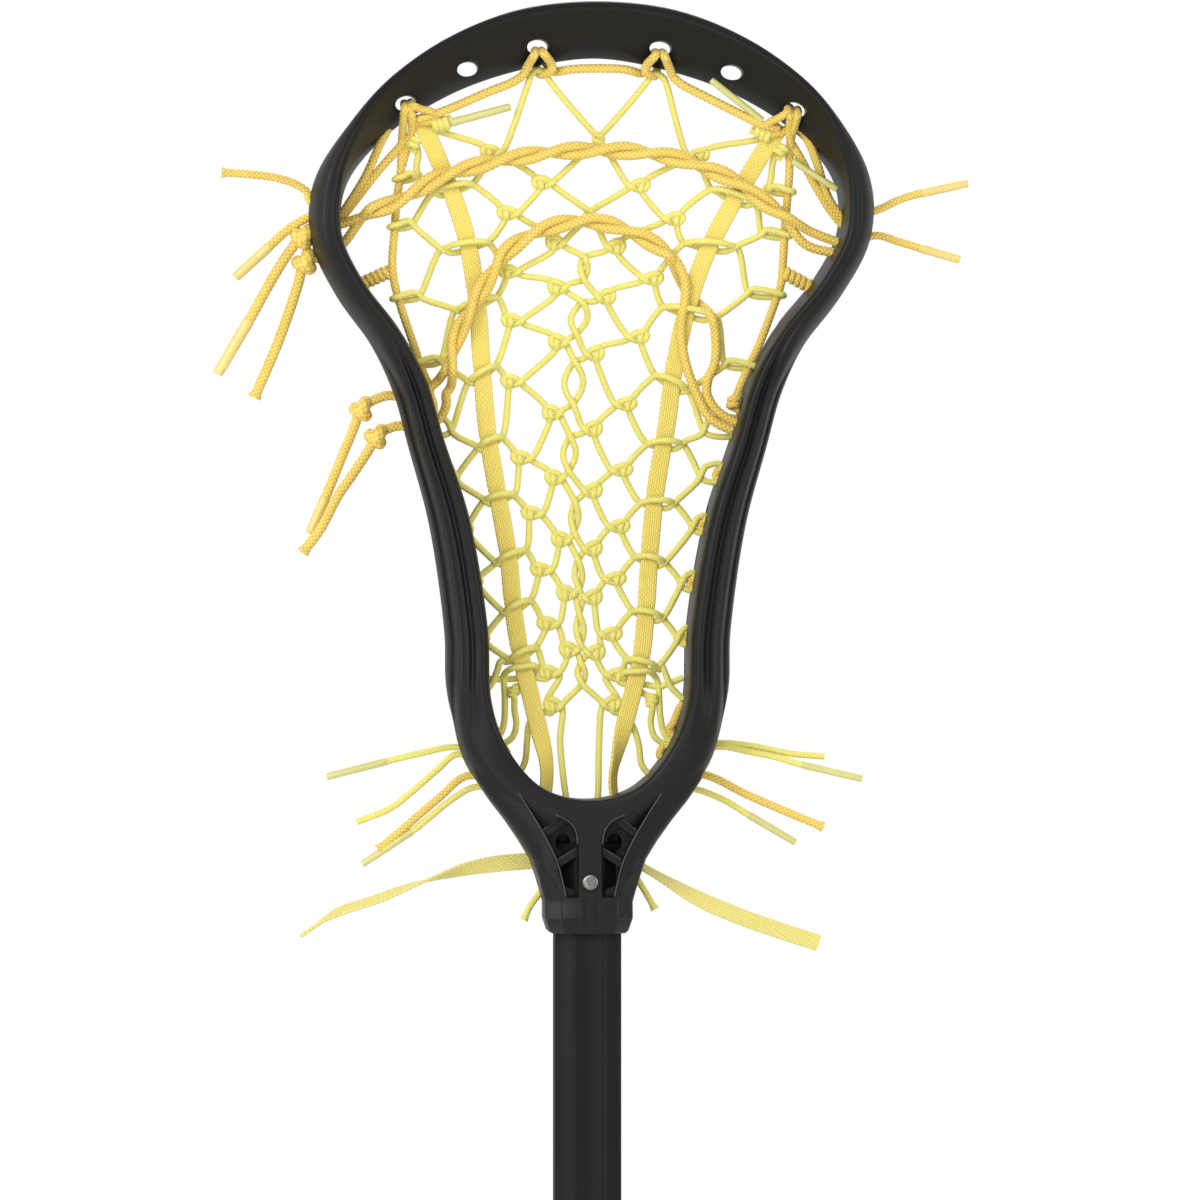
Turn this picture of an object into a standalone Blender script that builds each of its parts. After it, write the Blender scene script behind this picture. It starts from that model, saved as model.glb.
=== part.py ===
"""A women's lacrosse stick, made of its separate pieces.

The stick stands upright: +Z runs up the shaft to the scoop, and the side that the
ball is carried on looks to -Y. The origin is on the shaft's axis, in the plane of the
collar's lower end, where the upper hand closes round the stick. Values are in
millimetres and become metres when a mesh is made.
"""
import math

import bmesh
import bpy
from mathutils import Vector

MM = 0.001

# Overall sizes. The outlines and the strings below were drawn for a head of
# DRAWN_LENGTH by DRAWN_WIDTH and follow the two head sizes.
DRAWN_LENGTH = 351.5
DRAWN_WIDTH = 215.0
HEAD_LENGTH = 351.5
HEAD_WIDTH = 215.0
STICK_LENGTH = 1088.0

# The shaft, an octagonal tube, and what fits on it.
SHAFT_ACROSS = 25.4
SHAFT_WALL = 1.2
SHAFT_FIT = 0.3
SOCKET_DEPTH = 35.0
SHAFT_END_ROOM = 1.0
CAP_WALL = 2.2
CAP_DEPTH = 32.0
CAP_FLOOR = 4.0
CAP_LEAD = 1.5
CAP_LIP = 0.6

# The collar and throat of the head.
COLLAR_WALL = 4.0
COLLAR_SIDE = 3.6
THROAT_BACK = 4.7
THROAT_SLOPE_FROM = 22.0
THROAT_SLOPE_TO = 56.0
DRAWN_COLLAR = 16.6
EDGE_ROUND = 1.6
STRUT = 2.6

# The screw that holds the head on the shaft.
SCREW_HEIGHT = 19.5
SCREW_HEAD = 7.4
SCREW_HEAD_HIGH = 1.8
SCREW_SHANK = 4.0
SCREW_PAST_WALL = 1.5

# The strings.
NET_CORD = 2.6
KNOT_SIZE = 3.9
GOLD_CORD = 3.2
SHOOTING_CORD = 4.4
RUNNER_WIDTH = 6.2
RUNNER_THICK = 1.6
LACE_WIDTH = 5.6
LACE_THICK = 1.4
LACE_EDGE = 0.86
AGLET_CORD = 3.4
GAP = 0.3
LAYER_ROOM = 0.4
WALL_ROOM = 1.6
WALL_TURN = 0.9

# The pocket: how far behind the collar's middle the strings lie, from and to which
# heights they come forward, and the bag's sag, middle and half sizes.
NET_BACK_LOW = 9.0
NET_BACK_TOP = -5.0
NET_RISE_FROM = 190.0
NET_RISE_TO = 325.0
POCKET_SAG = 6.0
POCKET_MIDDLE = 150.0
POCKET_HALF_WIDTH = 46.0
POCKET_HALF_LENGTH = 100.0

# The head leans a little sideways at the scoop, between two heights.
SCOOP_LEAN = 2.3
LEAN_FROM = 215.0
LEAN_TO = 305.0

# Half of the opening's outline, seen from the front, from the ball stop up to the
# scoop: half width, height, and how wide the wall looks there.
OPENING = (
    (0.0, 50.7, 13.0), (17.5, 55.0, 13.5), (30.5, 69.5, 16.5), (36.9, 88.0, 16.3),
    (38.3, 115.0, 16.0), (45.3, 157.0, 15.0), (55.0, 187.0, 13.3), (61.5, 209.0, 13.0),
    (71.5, 229.0, 12.6), (86.0, 248.0, 12.0), (94.3, 266.0, 12.4), (92.6, 284.0, 13.0),
    (78.0, 302.0, 15.0), (53.0, 317.8, 19.0), (26.0, 327.0, 21.5), (0.0, 331.0, 20.5),
)

# The wall's section: share of the wall's width, and depth (front is negative). The
# first column is a sidewall near the throat, the second is the scoop. It runs from the
# back of the inner face round the front rim and down the outer face.
SECTION = (
    ((0.00, 15.0), (0.00, -3.0)),
    ((0.06, 5.0), (0.30, -12.0)),
    ((0.22, -8.0), (0.60, -20.0)),
    ((0.34, -17.0), (0.86, -26.5)),
    ((0.45, -20.0), (0.94, -28.0)),
    ((0.62, -19.5), (1.00, -27.0)),
    ((0.84, -14.0), (1.00, -24.5)),
    ((1.00, -5.0), (0.82, -18.5)),
    ((0.97, 2.0), (0.62, -12.5)),
    ((0.42, 6.5), (0.42, -6.5)),
    ((0.36, 15.5), (0.32, -2.5)),
    ((0.24, 17.0), (0.20, -0.6)),
    ((0.06, 17.0), (0.04, -0.9)),
)
BLEND_LOW = 195.0
BLEND_HIGH = 300.0
RING_STATIONS = 92

# The throat: half of its outline from the collar's lower end up to the sidewalls.
THROAT = ((16.6, 12.0), (19.0, 20.5), (21.8, 28.0), (26.4, 35.3), (31.5, 42.6),
          (37.5, 50.2), (43.0, 57.8), (47.4, 65.4), (45.0, 74.0), (40.0, 76.0))
BALL_STOP = ((33.5, 66.0), (19.5, 50.2), (0.0, 46.0))
WINDOW = ((4.6, 14.0), (9.0, 14.0), (12.2, 26.3), (18.0, 38.8), (26.5, 51.0),
          (17.4, 44.8), (11.2, 41.6), (6.4, 38.2), (4.6, 34.0))
UPPER_STRUT = ((16.9, 38.2), (11.2, 42.4))
LOWER_STRUT = ((11.2, 27.0), (4.6, 31.0))

# Holes for the strings: along the scoop (sideways, height) and up each sidewall.
SCOOP_HOLES = ((-69.5, 313.5), (-46.0, 326.5), (-19.5, 335.0),
               (27.0, 334.5), (54.0, 325.5), (78.0, 311.5))
SCOOP_HOLE = (8.0, 5.0)
SCOOP_HOLE_DEPTH = -7.0
SCOOP_HOLE_SLANT = 41.0
SCOOP_HOLE_REACH = 9.0
SIDE_HOLES = (58.5, 69.5, 100.0, 130.0, 160.0, 192.5, 204.0, 230.0, 254.5, 263.0, 271.5, 280.0)
SIDE_HOLE = 4.0

# The net, column by column, each from the top row down (sideways, height).
LEFT_SIDE = ((-65.5, 286.5), (-66.5, 268.5), (-63.5, 241.5), (-55.5, 217.0), (-51.0, 190.5),
             (-47.5, 172.0), (-43.5, 152.5), (-39.5, 132.5), (-36.0, 111.0))
LEFT_WRAP_OUT = ((-58.5, 280.5), (-55.0, 259.0), (-49.5, 236.0), (-44.5, 209.0), (-41.0, 184.0),
                 (-38.5, 164.0), (-34.0, 140.5), (-31.0, 121.5), (-29.0, 103.5))
LEFT_WRAP_IN = ((-43.5, 283.5), (-37.5, 261.5), (-34.0, 241.0), (-34.0, 215.0), (-31.5, 188.0),
                (-27.0, 166.0), (-22.5, 145.0), (-20.5, 126.0), (-18.5, 108.0))
LEFT_MID = ((-36.0, 295.5), (-29.5, 272.5), (-29.0, 250.5), (-27.5, 232.0), (-27.5, 209.0),
            (-23.5, 180.0), (-19.5, 159.0), (-16.0, 137.5), (-13.5, 117.0), (-13.0, 98.5))
LEFT_CENTRE = ((-11.5, 261.5), (-10.5, 244.5), (-10.0, 224.0), (-12.0, 197.0), (-11.0, 172.5),
               (-8.5, 149.0), (-6.5, 128.5), (-5.5, 107.0), (-11.5, 86.0))
TWIST_TOP = ((-1.0, 256.0), (-1.5, 239.0), (-4.0, 216.5), (-5.5, 188.0), (-3.5, 163.0),
             (-2.5, 141.0), (-2.0, 120.5), (-1.5, 102.0))
TWIST_END = ((-1.0, 247.5), (-3.5, 227.0), (-4.5, 200.5), (-6.0, 175.0), (-4.0, 152.0),
             (-2.0, 130.0), (-1.5, 109.0), (-1.0, 94.0))
OPEN_TWISTS = {1: 7.5, 2: 8.5, 3: 6.0}
RIGHT_CENTRE = ((10.5, 260.0), (7.0, 241.0), (3.0, 219.5), (2.5, 191.0), (2.5, 167.5),
                (2.5, 145.5), (2.5, 127.0), (3.5, 106.0), (9.5, 86.5))
RIGHT_MID = ((41.5, 294.5), (32.5, 270.5), (24.5, 248.0), (19.5, 226.0), (15.0, 200.5),
             (13.5, 175.5), (12.5, 154.0), (11.0, 134.0), (9.5, 113.0), (11.5, 97.5))
RIGHT_WRAP_IN = ((47.0, 282.0), (37.0, 261.5), (29.5, 237.5), (26.5, 211.5), (23.5, 185.5),
                 (21.0, 163.0), (19.0, 142.5), (18.0, 122.0), (16.0, 103.5))
RIGHT_WRAP_OUT = ((63.5, 276.5), (56.5, 260.0), (49.0, 233.5), (39.0, 206.0), (37.0, 185.5),
                  (34.0, 163.0), (30.5, 140.5), (29.5, 119.5), (27.5, 100.5))
RIGHT_SIDE = ((69.5, 282.0), (67.0, 265.5), (62.0, 243.0), (53.5, 216.0), (45.0, 190.5),
              (44.0, 170.5), (40.0, 150.5), (37.0, 131.0), (35.0, 109.5))
TOP_LEFT_KNOT = (-16.5, 284.0)
TOP_RIGHT_KNOT = (19.0, 283.0)
TOP_MIDDLE = (4.0, 300.5)
TOP_CROSSING = (1.0, 272.0)
KNOT_HALF = 2.3
HANGING_ROWS = 6

# Where the net's last strands end: at the scoop's holes, the corner knots, the side
# strings, the ball stop, and low down beside the sidewalls.
SCOOP_ENDS = ((-22.5, 322.0), (-15.0, 323.5), (23.0, 323.5), (30.0, 320.5))
CORNER_ENDS = ((-57.4, 303.0), (66.0, 300.0))
SIDE_ENDS = ((-64.8, 299.5), (71.8, 296.0))
STOP_ENDS = ((-7.6, 52.6), (3.8, 52.0))
FOOT_CORD = ((19.8, 79.3), (21.6, 70.0), (23.2, 62.6))
LAST_ROW = ((33.2, 96.4), (30.0, 96.0), (26.4, 96.0))
LAST_ROW_WALLS = (91.0, 97.6)
OUTER_DROP = ((31.2, 84.0), (30.0, 74.2))
INNER_DROP = ((26.0, 86.0), (26.2, 79.0))

# The gold cords and the runners (sideways, height), drawn along their middles.
TOP_STRING = ((-59.7, 308.1), (-40.0, 317.0), (-24.0, 323.5), (-12.0, 326.0), (5.0, 327.0),
              (21.0, 326.0), (31.5, 323.5), (49.5, 316.0), (66.9, 305.9))
LEFT_SIDE_STRING = ((-69.2, 303.2), (-71.8, 283.5), (-73.0, 266.0), (-73.5, 253.5),
                    (-73.0, 245.0), (-70.5, 237.5), (-66.0, 225.0), (-61.0, 212.5))
RIGHT_SIDE_STRING = ((77.2, 301.0), (77.2, 285.5), (75.5, 268.5), (74.5, 252.0),
                     (73.5, 242.5), (67.5, 227.0), (61.5, 214.5), (56.5, 204.5))
LEFT_TIE = ((-73.9, 297.6), (-82.0, 285.0), (-90.0, 272.5))
RIGHT_TIE = ((81.1, 295.8), (88.8, 283.0), (95.0, 272.2))
LEFT_RUNNER = ((-61.9, 301.6), (-59.0, 296.0), (-52.0, 282.0), (-45.5, 260.0), (-41.5, 239.0),
               (-39.0, 211.5), (-36.0, 187.5), (-33.0, 168.5), (-29.0, 146.5), (-26.5, 127.0),
               (-24.0, 107.0), (-20.5, 92.0), (-16.5, 79.5), (-14.0, 68.0), (-15.0, 57.0))
RIGHT_RUNNER = ((69.6, 298.6), (66.0, 293.6), (56.5, 280.0), (48.0, 260.5), (40.0, 235.0),
                (32.5, 209.5), (30.5, 187.0), (26.5, 166.0), (24.5, 143.0), (22.5, 124.0),
                (20.5, 105.0), (17.0, 87.5), (11.5, 72.0), (9.5, 63.0), (10.5, 55.0))
UPPER_SHOOTING = ((-87.5, 269.5), (-80.5, 273.5), (-72.5, 276.5), (-64.5, 281.0), (-57.0, 285.5),
                  (-44.5, 289.5), (-26.0, 293.5), (-11.5, 295.5), (5.0, 296.0), (19.0, 295.5),
                  (31.5, 293.5), (44.0, 289.5), (57.5, 283.5), (67.0, 276.5), (77.0, 270.0),
                  (91.5, 262.5))
LOWER_SHOOTING = ((-56.0, 200.5), (-53.5, 213.0), (-49.5, 225.5), (-44.0, 236.5),
                  (-37.0, 248.5), (-31.0, 257.5), (-21.0, 264.5), (-11.5, 268.0), (-1.5, 269.5),
                  (6.0, 268.5), (16.0, 265.5), (25.5, 260.0), (31.5, 252.5), (35.0, 243.0),
                  (35.5, 230.0), (36.5, 218.0), (41.0, 208.5), (47.0, 202.0), (52.0, 197.0))

# The free ends of the strings. Each comes out of a sidewall hole at the height that
# "hole" gives, and follows its points (sideways, height). The last stretch of an
# end with an aglet is inside the aglet.
TAILS = {
    "tail_left_1": dict(hole=280.0, route=((-115.0, 285.0), (-127.5, 286.5), (-138.5, 288.0))),
    "tail_left_2": dict(hole=271.5, route=((-114.5, 266.0), (-123.5, 257.5), (-132.5, 248.5)),
                        aglet=14.0),
    "tail_left_3": dict(hole=263.0, route=((-113.0, 261.5), (-120.5, 247.0), (-128.5, 232.0),
                                           (-140.0, 211.5)), aglet=23.0, knot=1),
    "tail_left_4": dict(hole=254.5, route=((-109.0, 248.0), (-113.0, 234.5), (-118.0, 221.0),
                                           (-126.0, 202.5)), aglet=20.0, knot=1),
    "tail_left_5": dict(hole=204.0, route=((-85.0, 199.5), (-88.5, 189.0), (-94.0, 176.0),
                                           (-100.5, 164.0), (-105.0, 151.0)), aglet=14.0, knot=1),
    "tail_left_6": dict(hole=192.5, route=((-79.5, 188.5), (-84.5, 180.0), (-92.5, 166.0),
                                           (-101.0, 152.5), (-107.5, 144.0)), knot=1, swing=-3.5),
    "tail_left_7": dict(hole=69.5, lemon=True, drop=1.6,
                        route=((-63.5, 69.0), (-76.0, 65.0), (-98.0, 59.5)), aglet=23.0),
    "tail_left_8": dict(hole=69.5, lemon=True, drop=-1.6,
                        route=((-58.5, 61.5), (-67.0, 53.0), (-75.5, 48.0), (-87.0, 42.5))),
    "tail_left_9": dict(hole=58.5, drop=1.9,
                        route=((-54.0, 52.5), (-67.0, 41.0), (-79.0, 32.0))),
    "tail_left_10": dict(hole=58.5, lemon=True, drop=-1.9,
                         route=((-50.0, 46.5), (-57.5, 42.0), (-66.5, 35.5), (-85.0, 23.5)),
                         aglet=21.0),
    "tail_right_1": dict(hole=271.5, route=((118.0, 277.0), (127.5, 280.5), (145.0, 284.5)),
                         aglet=18.0),
    "tail_right_2": dict(hole=263.0, route=((118.0, 262.5), (126.0, 260.0), (141.5, 255.5)),
                         aglet=16.0),
    "tail_right_3": dict(hole=69.5, lemon=True, drop=1.6,
                         route=((61.5, 71.5), (76.0, 68.5), (91.5, 67.0))),
    "tail_right_4": dict(hole=69.5, lemon=True, drop=-1.6,
                         route=((63.0, 65.5), (74.0, 64.0), (84.5, 62.5), (105.5, 58.0)),
                         aglet=23.0),
    "tail_right_5": dict(hole=58.5, drop=1.9, swing=3.0,
                         route=((55.5, 55.0), (72.0, 47.5), (91.0, 40.0))),
    "tail_right_6": dict(hole=58.5, lemon=True, drop=-1.9,
                         route=((51.5, 48.5), (62.0, 43.0), (81.0, 33.5)), aglet=20.0),
}
TAIL_SWING = 2.0
TAIL_CLEAR = 0.75

# The flat ends of the runners, out of the throat's sides, and two short lemon ends.
LACE_TAILS = {
    "lace_tail_left": ((-23.2, 26.7), (-34.0, 26.3), (-46.5, 23.5), (-58.5, 20.5),
                       (-71.5, 15.5), (-83.5, 11.0), (-96.0, 6.5), (-108.0, -1.5)),
    "lace_tail_right": ((21.7, 24.7), (30.5, 19.5), (43.0, 12.5), (55.5, 7.0),
                        (72.0, 1.0), (89.0, -4.5)),
}
SHORT_TAILS = {
    "short_tail_left": ((-18.4, 13.4), (-21.2, 9.5), (-23.5, 4.5)),
    "short_tail_right": ((20.3, 19.0), (23.4, 14.0), (26.5, 8.5)),
}

# Short ends with aglets that stand off the corner knots, inside the scoop.
INNER_AGLETS = {
    "inner_aglet_left": ((-58.1, 305.0, -7.0), (-29.5, 312.5, -8.6)),
    "inner_aglet_right": ((66.0, 307.6, -11.4), (46.0, 322.6, -13.6)),
    "inner_aglet_side": ((79.6, 291.3, -6.6), (94.6, 281.6, -6.2)),
}

# The wrapped knots: middle (sideways, height), half sizes across, deep and high.
KNOT_FORWARD = 1.0
KNOT_REACH = 10.0
KNOTS = {
    "corner_knot_left": ((-63.5, 305.6), (5.0, 3.6, 3.2)),
    "corner_knot_right": ((71.0, 303.2), (5.2, 3.6, 3.2)),
    "side_knot_left": ((-80.0, 249.0), (4.8, 3.2, 3.2)),
    "side_knot_right": ((80.8, 247.0), (4.8, 3.2, 3.2)),
}

COLOURS = {
    "plastic": ((0.016, 0.018, 0.019), 0.38, 0.0),
    "shaft": ((0.014, 0.014, 0.015), 0.30, 0.2),
    "rubber": ((0.010, 0.010, 0.010), 0.80, 0.0),
    "steel": ((0.30, 0.30, 0.31), 0.32, 1.0),
    "gold": ((0.80, 0.50, 0.08), 0.75, 0.0),
    "lemon": ((0.72, 0.70, 0.16), 0.65, 0.0),
    "lace": ((0.80, 0.62, 0.12), 0.75, 0.0),
    "aglet": ((0.66, 0.66, 0.24), 0.20, 0.0),
}

# Worked out from the sizes above.
SCOOP_WALL = OPENING[-1][2]
SIDE_WALL = OPENING[10][2]
HEAD_SCALE = (HEAD_LENGTH - SCOOP_WALL) / (DRAWN_LENGTH - SCOOP_WALL)
SIDE_SCALE = (HEAD_WIDTH - 2 * SIDE_WALL) / (DRAWN_WIDTH - 2 * SIDE_WALL)
SHAFT_HALF = SHAFT_ACROSS / 2
COLLAR_HALF_DEPTH = SHAFT_HALF + SHAFT_FIT + COLLAR_WALL
COLLAR_HALF_WIDTH = SHAFT_HALF + SHAFT_FIT + COLLAR_SIDE
SHAFT_TOP = SOCKET_DEPTH - SHAFT_END_ROOM
BUTT = HEAD_LENGTH - STICK_LENGTH
RUNNER_FRONT = NET_CORD / 2 + GAP + LAYER_ROOM + RUNNER_THICK / 2
SHOOTING_FRONT = RUNNER_FRONT + RUNNER_THICK / 2 + GAP + LAYER_ROOM + SHOOTING_CORD / 2
TOP_FRONT = NET_CORD / 2 + GAP + LAYER_ROOM / 2 + GOLD_CORD / 2
SOCKET_ROOM = SHAFT_ACROSS + 2 * SHAFT_FIT
SCREW_ROOM = SCREW_SHANK + 2 * GAP


def clear_scene():
    for old in list(bpy.data.objects):
        bpy.data.objects.remove(old, do_unlink=True)


def material(name):
    colour, rough, metal = COLOURS[name]
    made = bpy.data.materials.get(name)
    if made is None:
        made = bpy.data.materials.new(name)
        made.use_nodes = True
        shader = made.node_tree.nodes["Principled BSDF"]
        shader.inputs["Base Color"].default_value = (*colour, 1.0)
        shader.inputs["Roughness"].default_value = rough
        shader.inputs["Metallic"].default_value = metal
    return made


def link(thing, parent=None):
    bpy.context.scene.collection.objects.link(thing)
    if parent is not None:
        thing.parent = parent
    return thing


def mesh_object(name, points, faces, finish, smooth_angle=40.0):
    """A closed mesh from points in millimetres, with its faces pointing out."""
    mesh = bpy.data.meshes.new(name)
    work = bmesh.new()
    corners = [work.verts.new(Vector(point) * MM) for point in points]
    for face in faces:
        work.faces.new([corners[index] for index in face])
    bmesh.ops.recalc_face_normals(work, faces=work.faces)
    work.to_mesh(mesh)
    work.free()
    mesh.materials.append(material(finish))
    mesh.shade_smooth()
    mesh.set_sharp_from_angle(angle=math.radians(smooth_angle))
    return link(bpy.data.objects.new(name, mesh))


def cutter(name, points, faces):
    thing = mesh_object(name, points, faces, "plastic")
    thing.hide_render = True
    thing.display_type = "WIRE"
    return thing


def loft(rings, closed_loop=False):
    """Joins rings of equal count into a tube. Its ends are capped unless it closes."""
    count = len(rings[0])
    points = [point for ring in rings for point in ring]
    faces = []
    spans = len(rings) if closed_loop else len(rings) - 1
    for row in range(spans):
        first = row * count
        second = ((row + 1) % len(rings)) * count
        for column in range(count):
            following = (column + 1) % count
            faces.append((first + column, first + following, second + following, second + column))
    if not closed_loop:
        faces.append(tuple(range(count)))
        last = (len(rings) - 1) * count
        faces.append(tuple(last + column for column in range(count)))
    return points, faces


def boolean(target, tool, operation):
    step = target.modifiers.new(operation.lower() + "_" + tool.name, "BOOLEAN")
    step.operation = operation
    step.object = tool
    step.solver = "EXACT"


def ease(value):
    value = min(max(value, 0.0), 1.0)
    return value * value * (3.0 - 2.0 * value)


def spline_point(points, index, share):
    """A point on the smooth curve through the points, after the one at index."""
    count = len(points)
    before = points[max(index - 1, 0)]
    start = points[index]
    end = points[min(index + 1, count - 1)]
    after = points[min(index + 2, count - 1)]
    square = share * share
    cube = square * share
    result = []
    for a, b, c, d in zip(before, start, end, after):
        value = 2 * b + (c - a) * share
        value += (2 * a - 5 * b + 4 * c - d) * square
        value += (3 * b - a - 3 * c + d) * cube
        result.append(value / 2)
    return tuple(result)


def smooth_route(points, pitch):
    """Evenly spaced points on the smooth curve through the route's own points."""
    dense = []
    for index in range(len(points) - 1):
        for step in range(12):
            dense.append(Vector(spline_point(points, index, step / 12)))
    dense.append(Vector(points[-1]))
    lengths = [0.0]
    for one, two in zip(dense, dense[1:]):
        lengths.append(lengths[-1] + (two - one).length)
    count = max(2, round(lengths[-1] / pitch))
    spaced = []
    index = 0
    for step in range(count + 1):
        wanted = lengths[-1] * step / count
        while index < len(lengths) - 2 and lengths[index + 1] < wanted:
            index += 1
        span = lengths[index + 1] - lengths[index]
        share = (wanted - lengths[index]) / span if span else 0.0
        spaced.append(dense[index].lerp(dense[index + 1], share))
    return spaced


def lean(height):
    """How far the head leans sideways at a height."""
    return SCOOP_LEAN * ease((height / HEAD_SCALE - LEAN_FROM) / (LEAN_TO - LEAN_FROM))


def on_head(point):
    """A drawn point of the head, at its real size. Beside a knot it keeps its distance."""
    x, z = point
    real_x = x * SIDE_SCALE
    real_z = z * HEAD_SCALE
    for (knot_x, knot_z), halves in KNOTS.values():
        far = math.dist((x, z), (knot_x, knot_z))
        share = ease((2 * KNOT_REACH - far) / KNOT_REACH)
        real_x += (knot_x * SIDE_SCALE + x - knot_x - real_x) * share
        real_z += (knot_z * HEAD_SCALE + z - knot_z - real_z) * share
    return real_x, real_z


def on_throat(point):
    """A drawn point of the throat. The collar's end fits the shaft, the rest the head."""
    x, z = point
    share = ease(z / THROAT_SLOPE_TO)
    beside_shaft = x + math.copysign(COLLAR_HALF_WIDTH - DRAWN_COLLAR, x)
    head_x, head_z = on_head(point)
    return beside_shaft + (head_x - beside_shaft) * share, z + (head_z - z) * share


def half_opening():
    """The opening's outline from the ball stop to the scoop, as smooth points."""
    drawn = [(x * SIDE_SCALE, z * HEAD_SCALE, wide) for x, z, wide in OPENING]
    mirrored = [(-drawn[1][0], drawn[1][1], drawn[1][2])] + drawn
    mirrored.append((-drawn[-2][0], drawn[-2][1], drawn[-2][2]))
    dense = []
    for index in range(1, len(mirrored) - 2):
        for step in range(16):
            dense.append(spline_point(mirrored, index, step / 16))
    dense.append(mirrored[-2])
    return dense


HALF = half_opening()


def rail_place(side, height):
    """Inner edge, outward direction and wall width of a sidewall at a height."""
    for index in range(1, len(HALF) - 1):
        if HALF[index + 1][1] >= height:
            break
    low = HALF[index]
    high = HALF[index + 1]
    share = (height - low[1]) / (high[1] - low[1])
    x = low[0] + (high[0] - low[0]) * share
    along = Vector((high[0] - low[0], high[1] - low[1])).normalized()
    wide = low[2] + (high[2] - low[2]) * share
    edge = Vector((side * x + lean(height), height))
    outward = Vector((side * along.y, -along.x))
    return edge, outward, wide


def section_point(number, height):
    """One corner of the wall's section: share of its width, and depth."""
    low, high = SECTION[number]
    share = ease((height / HEAD_SCALE - BLEND_LOW) / (BLEND_HIGH - BLEND_LOW))
    return low[0] + (high[0] - low[0]) * share, low[1] + (high[1] - low[1]) * share


def wall_point(side, height, first, second, share=0.5):
    """A point on the sidewall's surface, between two corners of its section."""
    edge, outward, wide = rail_place(side, height)
    one = section_point(first, height)
    two = section_point(second, height)
    across = (one[0] + (two[0] - one[0]) * share) * wide
    depth = one[1] + (two[1] - one[1]) * share
    spot = edge + outward * across
    return Vector((spot.x, depth, spot.y))


def net_depth(x, z):
    """How far back the strings lie at a place in the head."""
    rise = ease((z / HEAD_SCALE - NET_RISE_FROM) / (NET_RISE_TO - NET_RISE_FROM))
    depth = NET_BACK_LOW + (NET_BACK_TOP - NET_BACK_LOW) * rise
    across = max(0.0, 1.0 - (x / SIDE_SCALE / POCKET_HALF_WIDTH) ** 2)
    along = max(0.0, 1.0 - ((z / HEAD_SCALE - POCKET_MIDDLE) / POCKET_HALF_LENGTH) ** 2)
    return depth + POCKET_SAG * across * along


def ring_loop():
    """Inner edge points all the way round, evenly spaced, with outward directions."""
    right = [(x, z, wide) for x, z, wide in HALF]
    left = [(-x, z, wide) for x, z, wide in reversed(HALF[1:-1])]
    loop = right + left
    closed = loop + [loop[0]]
    lengths = [0.0]
    for one, two in zip(closed, closed[1:]):
        lengths.append(lengths[-1] + math.dist(one[:2], two[:2]))
    stations = []
    index = 0
    for step in range(RING_STATIONS):
        wanted = lengths[-1] * step / RING_STATIONS
        while lengths[index + 1] < wanted:
            index += 1
        share = (wanted - lengths[index]) / (lengths[index + 1] - lengths[index])
        one = Vector(closed[index])
        two = Vector(closed[index + 1])
        stations.append(one.lerp(two, share))
    return stations


def make_ring():
    """The moulded wall all the way round the opening."""
    stations = ring_loop()
    rings = []
    for number, here in enumerate(stations):
        before = stations[number - 1]
        after = stations[(number + 1) % len(stations)]
        along = Vector((after.x - before.x, after.y - before.y)).normalized()
        outward = Vector((along.y, -along.x))
        ring = []
        for corner in range(len(SECTION)):
            across, depth = section_point(corner, here.y)
            spot = Vector((here.x, here.y)) + outward * across * here.z
            ring.append((spot.x + lean(spot.y), depth, spot.y))
        rings.append(ring)
    return mesh_object("head_frame", *loft(rings, closed_loop=True), "plastic", 50.0)


def inset(outline, distance):
    """The outline, moved inwards. It runs anticlockwise, seen from the front."""
    count = len(outline)
    moved = []
    for number in range(count):
        before = Vector(outline[number - 1])
        here = Vector(outline[number])
        after = Vector(outline[(number + 1) % count])
        one = (here - before).normalized()
        two = (after - here).normalized()
        inward = Vector((-one.y - two.y, one.x + two.x)).normalized()
        straight = max(0.5, inward.dot(Vector((-one.y, one.x))))
        moved.append(tuple(here + inward * distance / straight))
    return moved


def slab(outline, front, back, rounding):
    """A plate in the plane of the head with softened front and back edges."""
    small = inset(outline, rounding)
    rings = []
    for shape, depth in ((small, front), (outline, front + rounding),
                         (outline, back - rounding), (small, back)):
        rings.append([(x, depth, z) for x, z in shape])
    return loft(rings)


def throat_back_cut():
    """What is taken off the throat's back, which slopes forward to the sidewalls."""
    start = COLLAR_HALF_DEPTH + 0.2
    slope = []
    steps = 6
    for step in range(steps + 1):
        height = THROAT_SLOPE_FROM + (THROAT_SLOPE_TO - THROAT_SLOPE_FROM) * step / steps
        slope.append((start + (THROAT_BACK - start) * ease(step / steps), height))
    past = 2 * COLLAR_HALF_DEPTH
    over = HEAD_LENGTH / 2
    profile = slope + [(THROAT_BACK, over), (past, over), (past, slope[0][1])]
    rings = [[(x, y, z) for y, z in profile] for x in (-HEAD_WIDTH / 2, HEAD_WIDTH / 2)]
    return cutter("throat_back_cut", *loft(rings))


def make_throat():
    """The V between the sidewalls and the collar that the shaft goes into."""
    right = [on_throat(point) for point in ((DRAWN_COLLAR, 0.0),) + THROAT + BALL_STOP]
    left = [(-x, z) for x, z in reversed(right[:-1])]
    outline = right + left
    points, faces = slab(outline, -COLLAR_HALF_DEPTH, COLLAR_HALF_DEPTH, EDGE_ROUND)
    block = cutter("throat_block", points, faces)
    boolean(block, throat_back_cut(), "DIFFERENCE")
    return block


def prism(outline, front, back):
    rings = [[(x, front, z) for x, z in outline], [(x, back, z) for x, z in outline]]
    return loft(rings)


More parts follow.
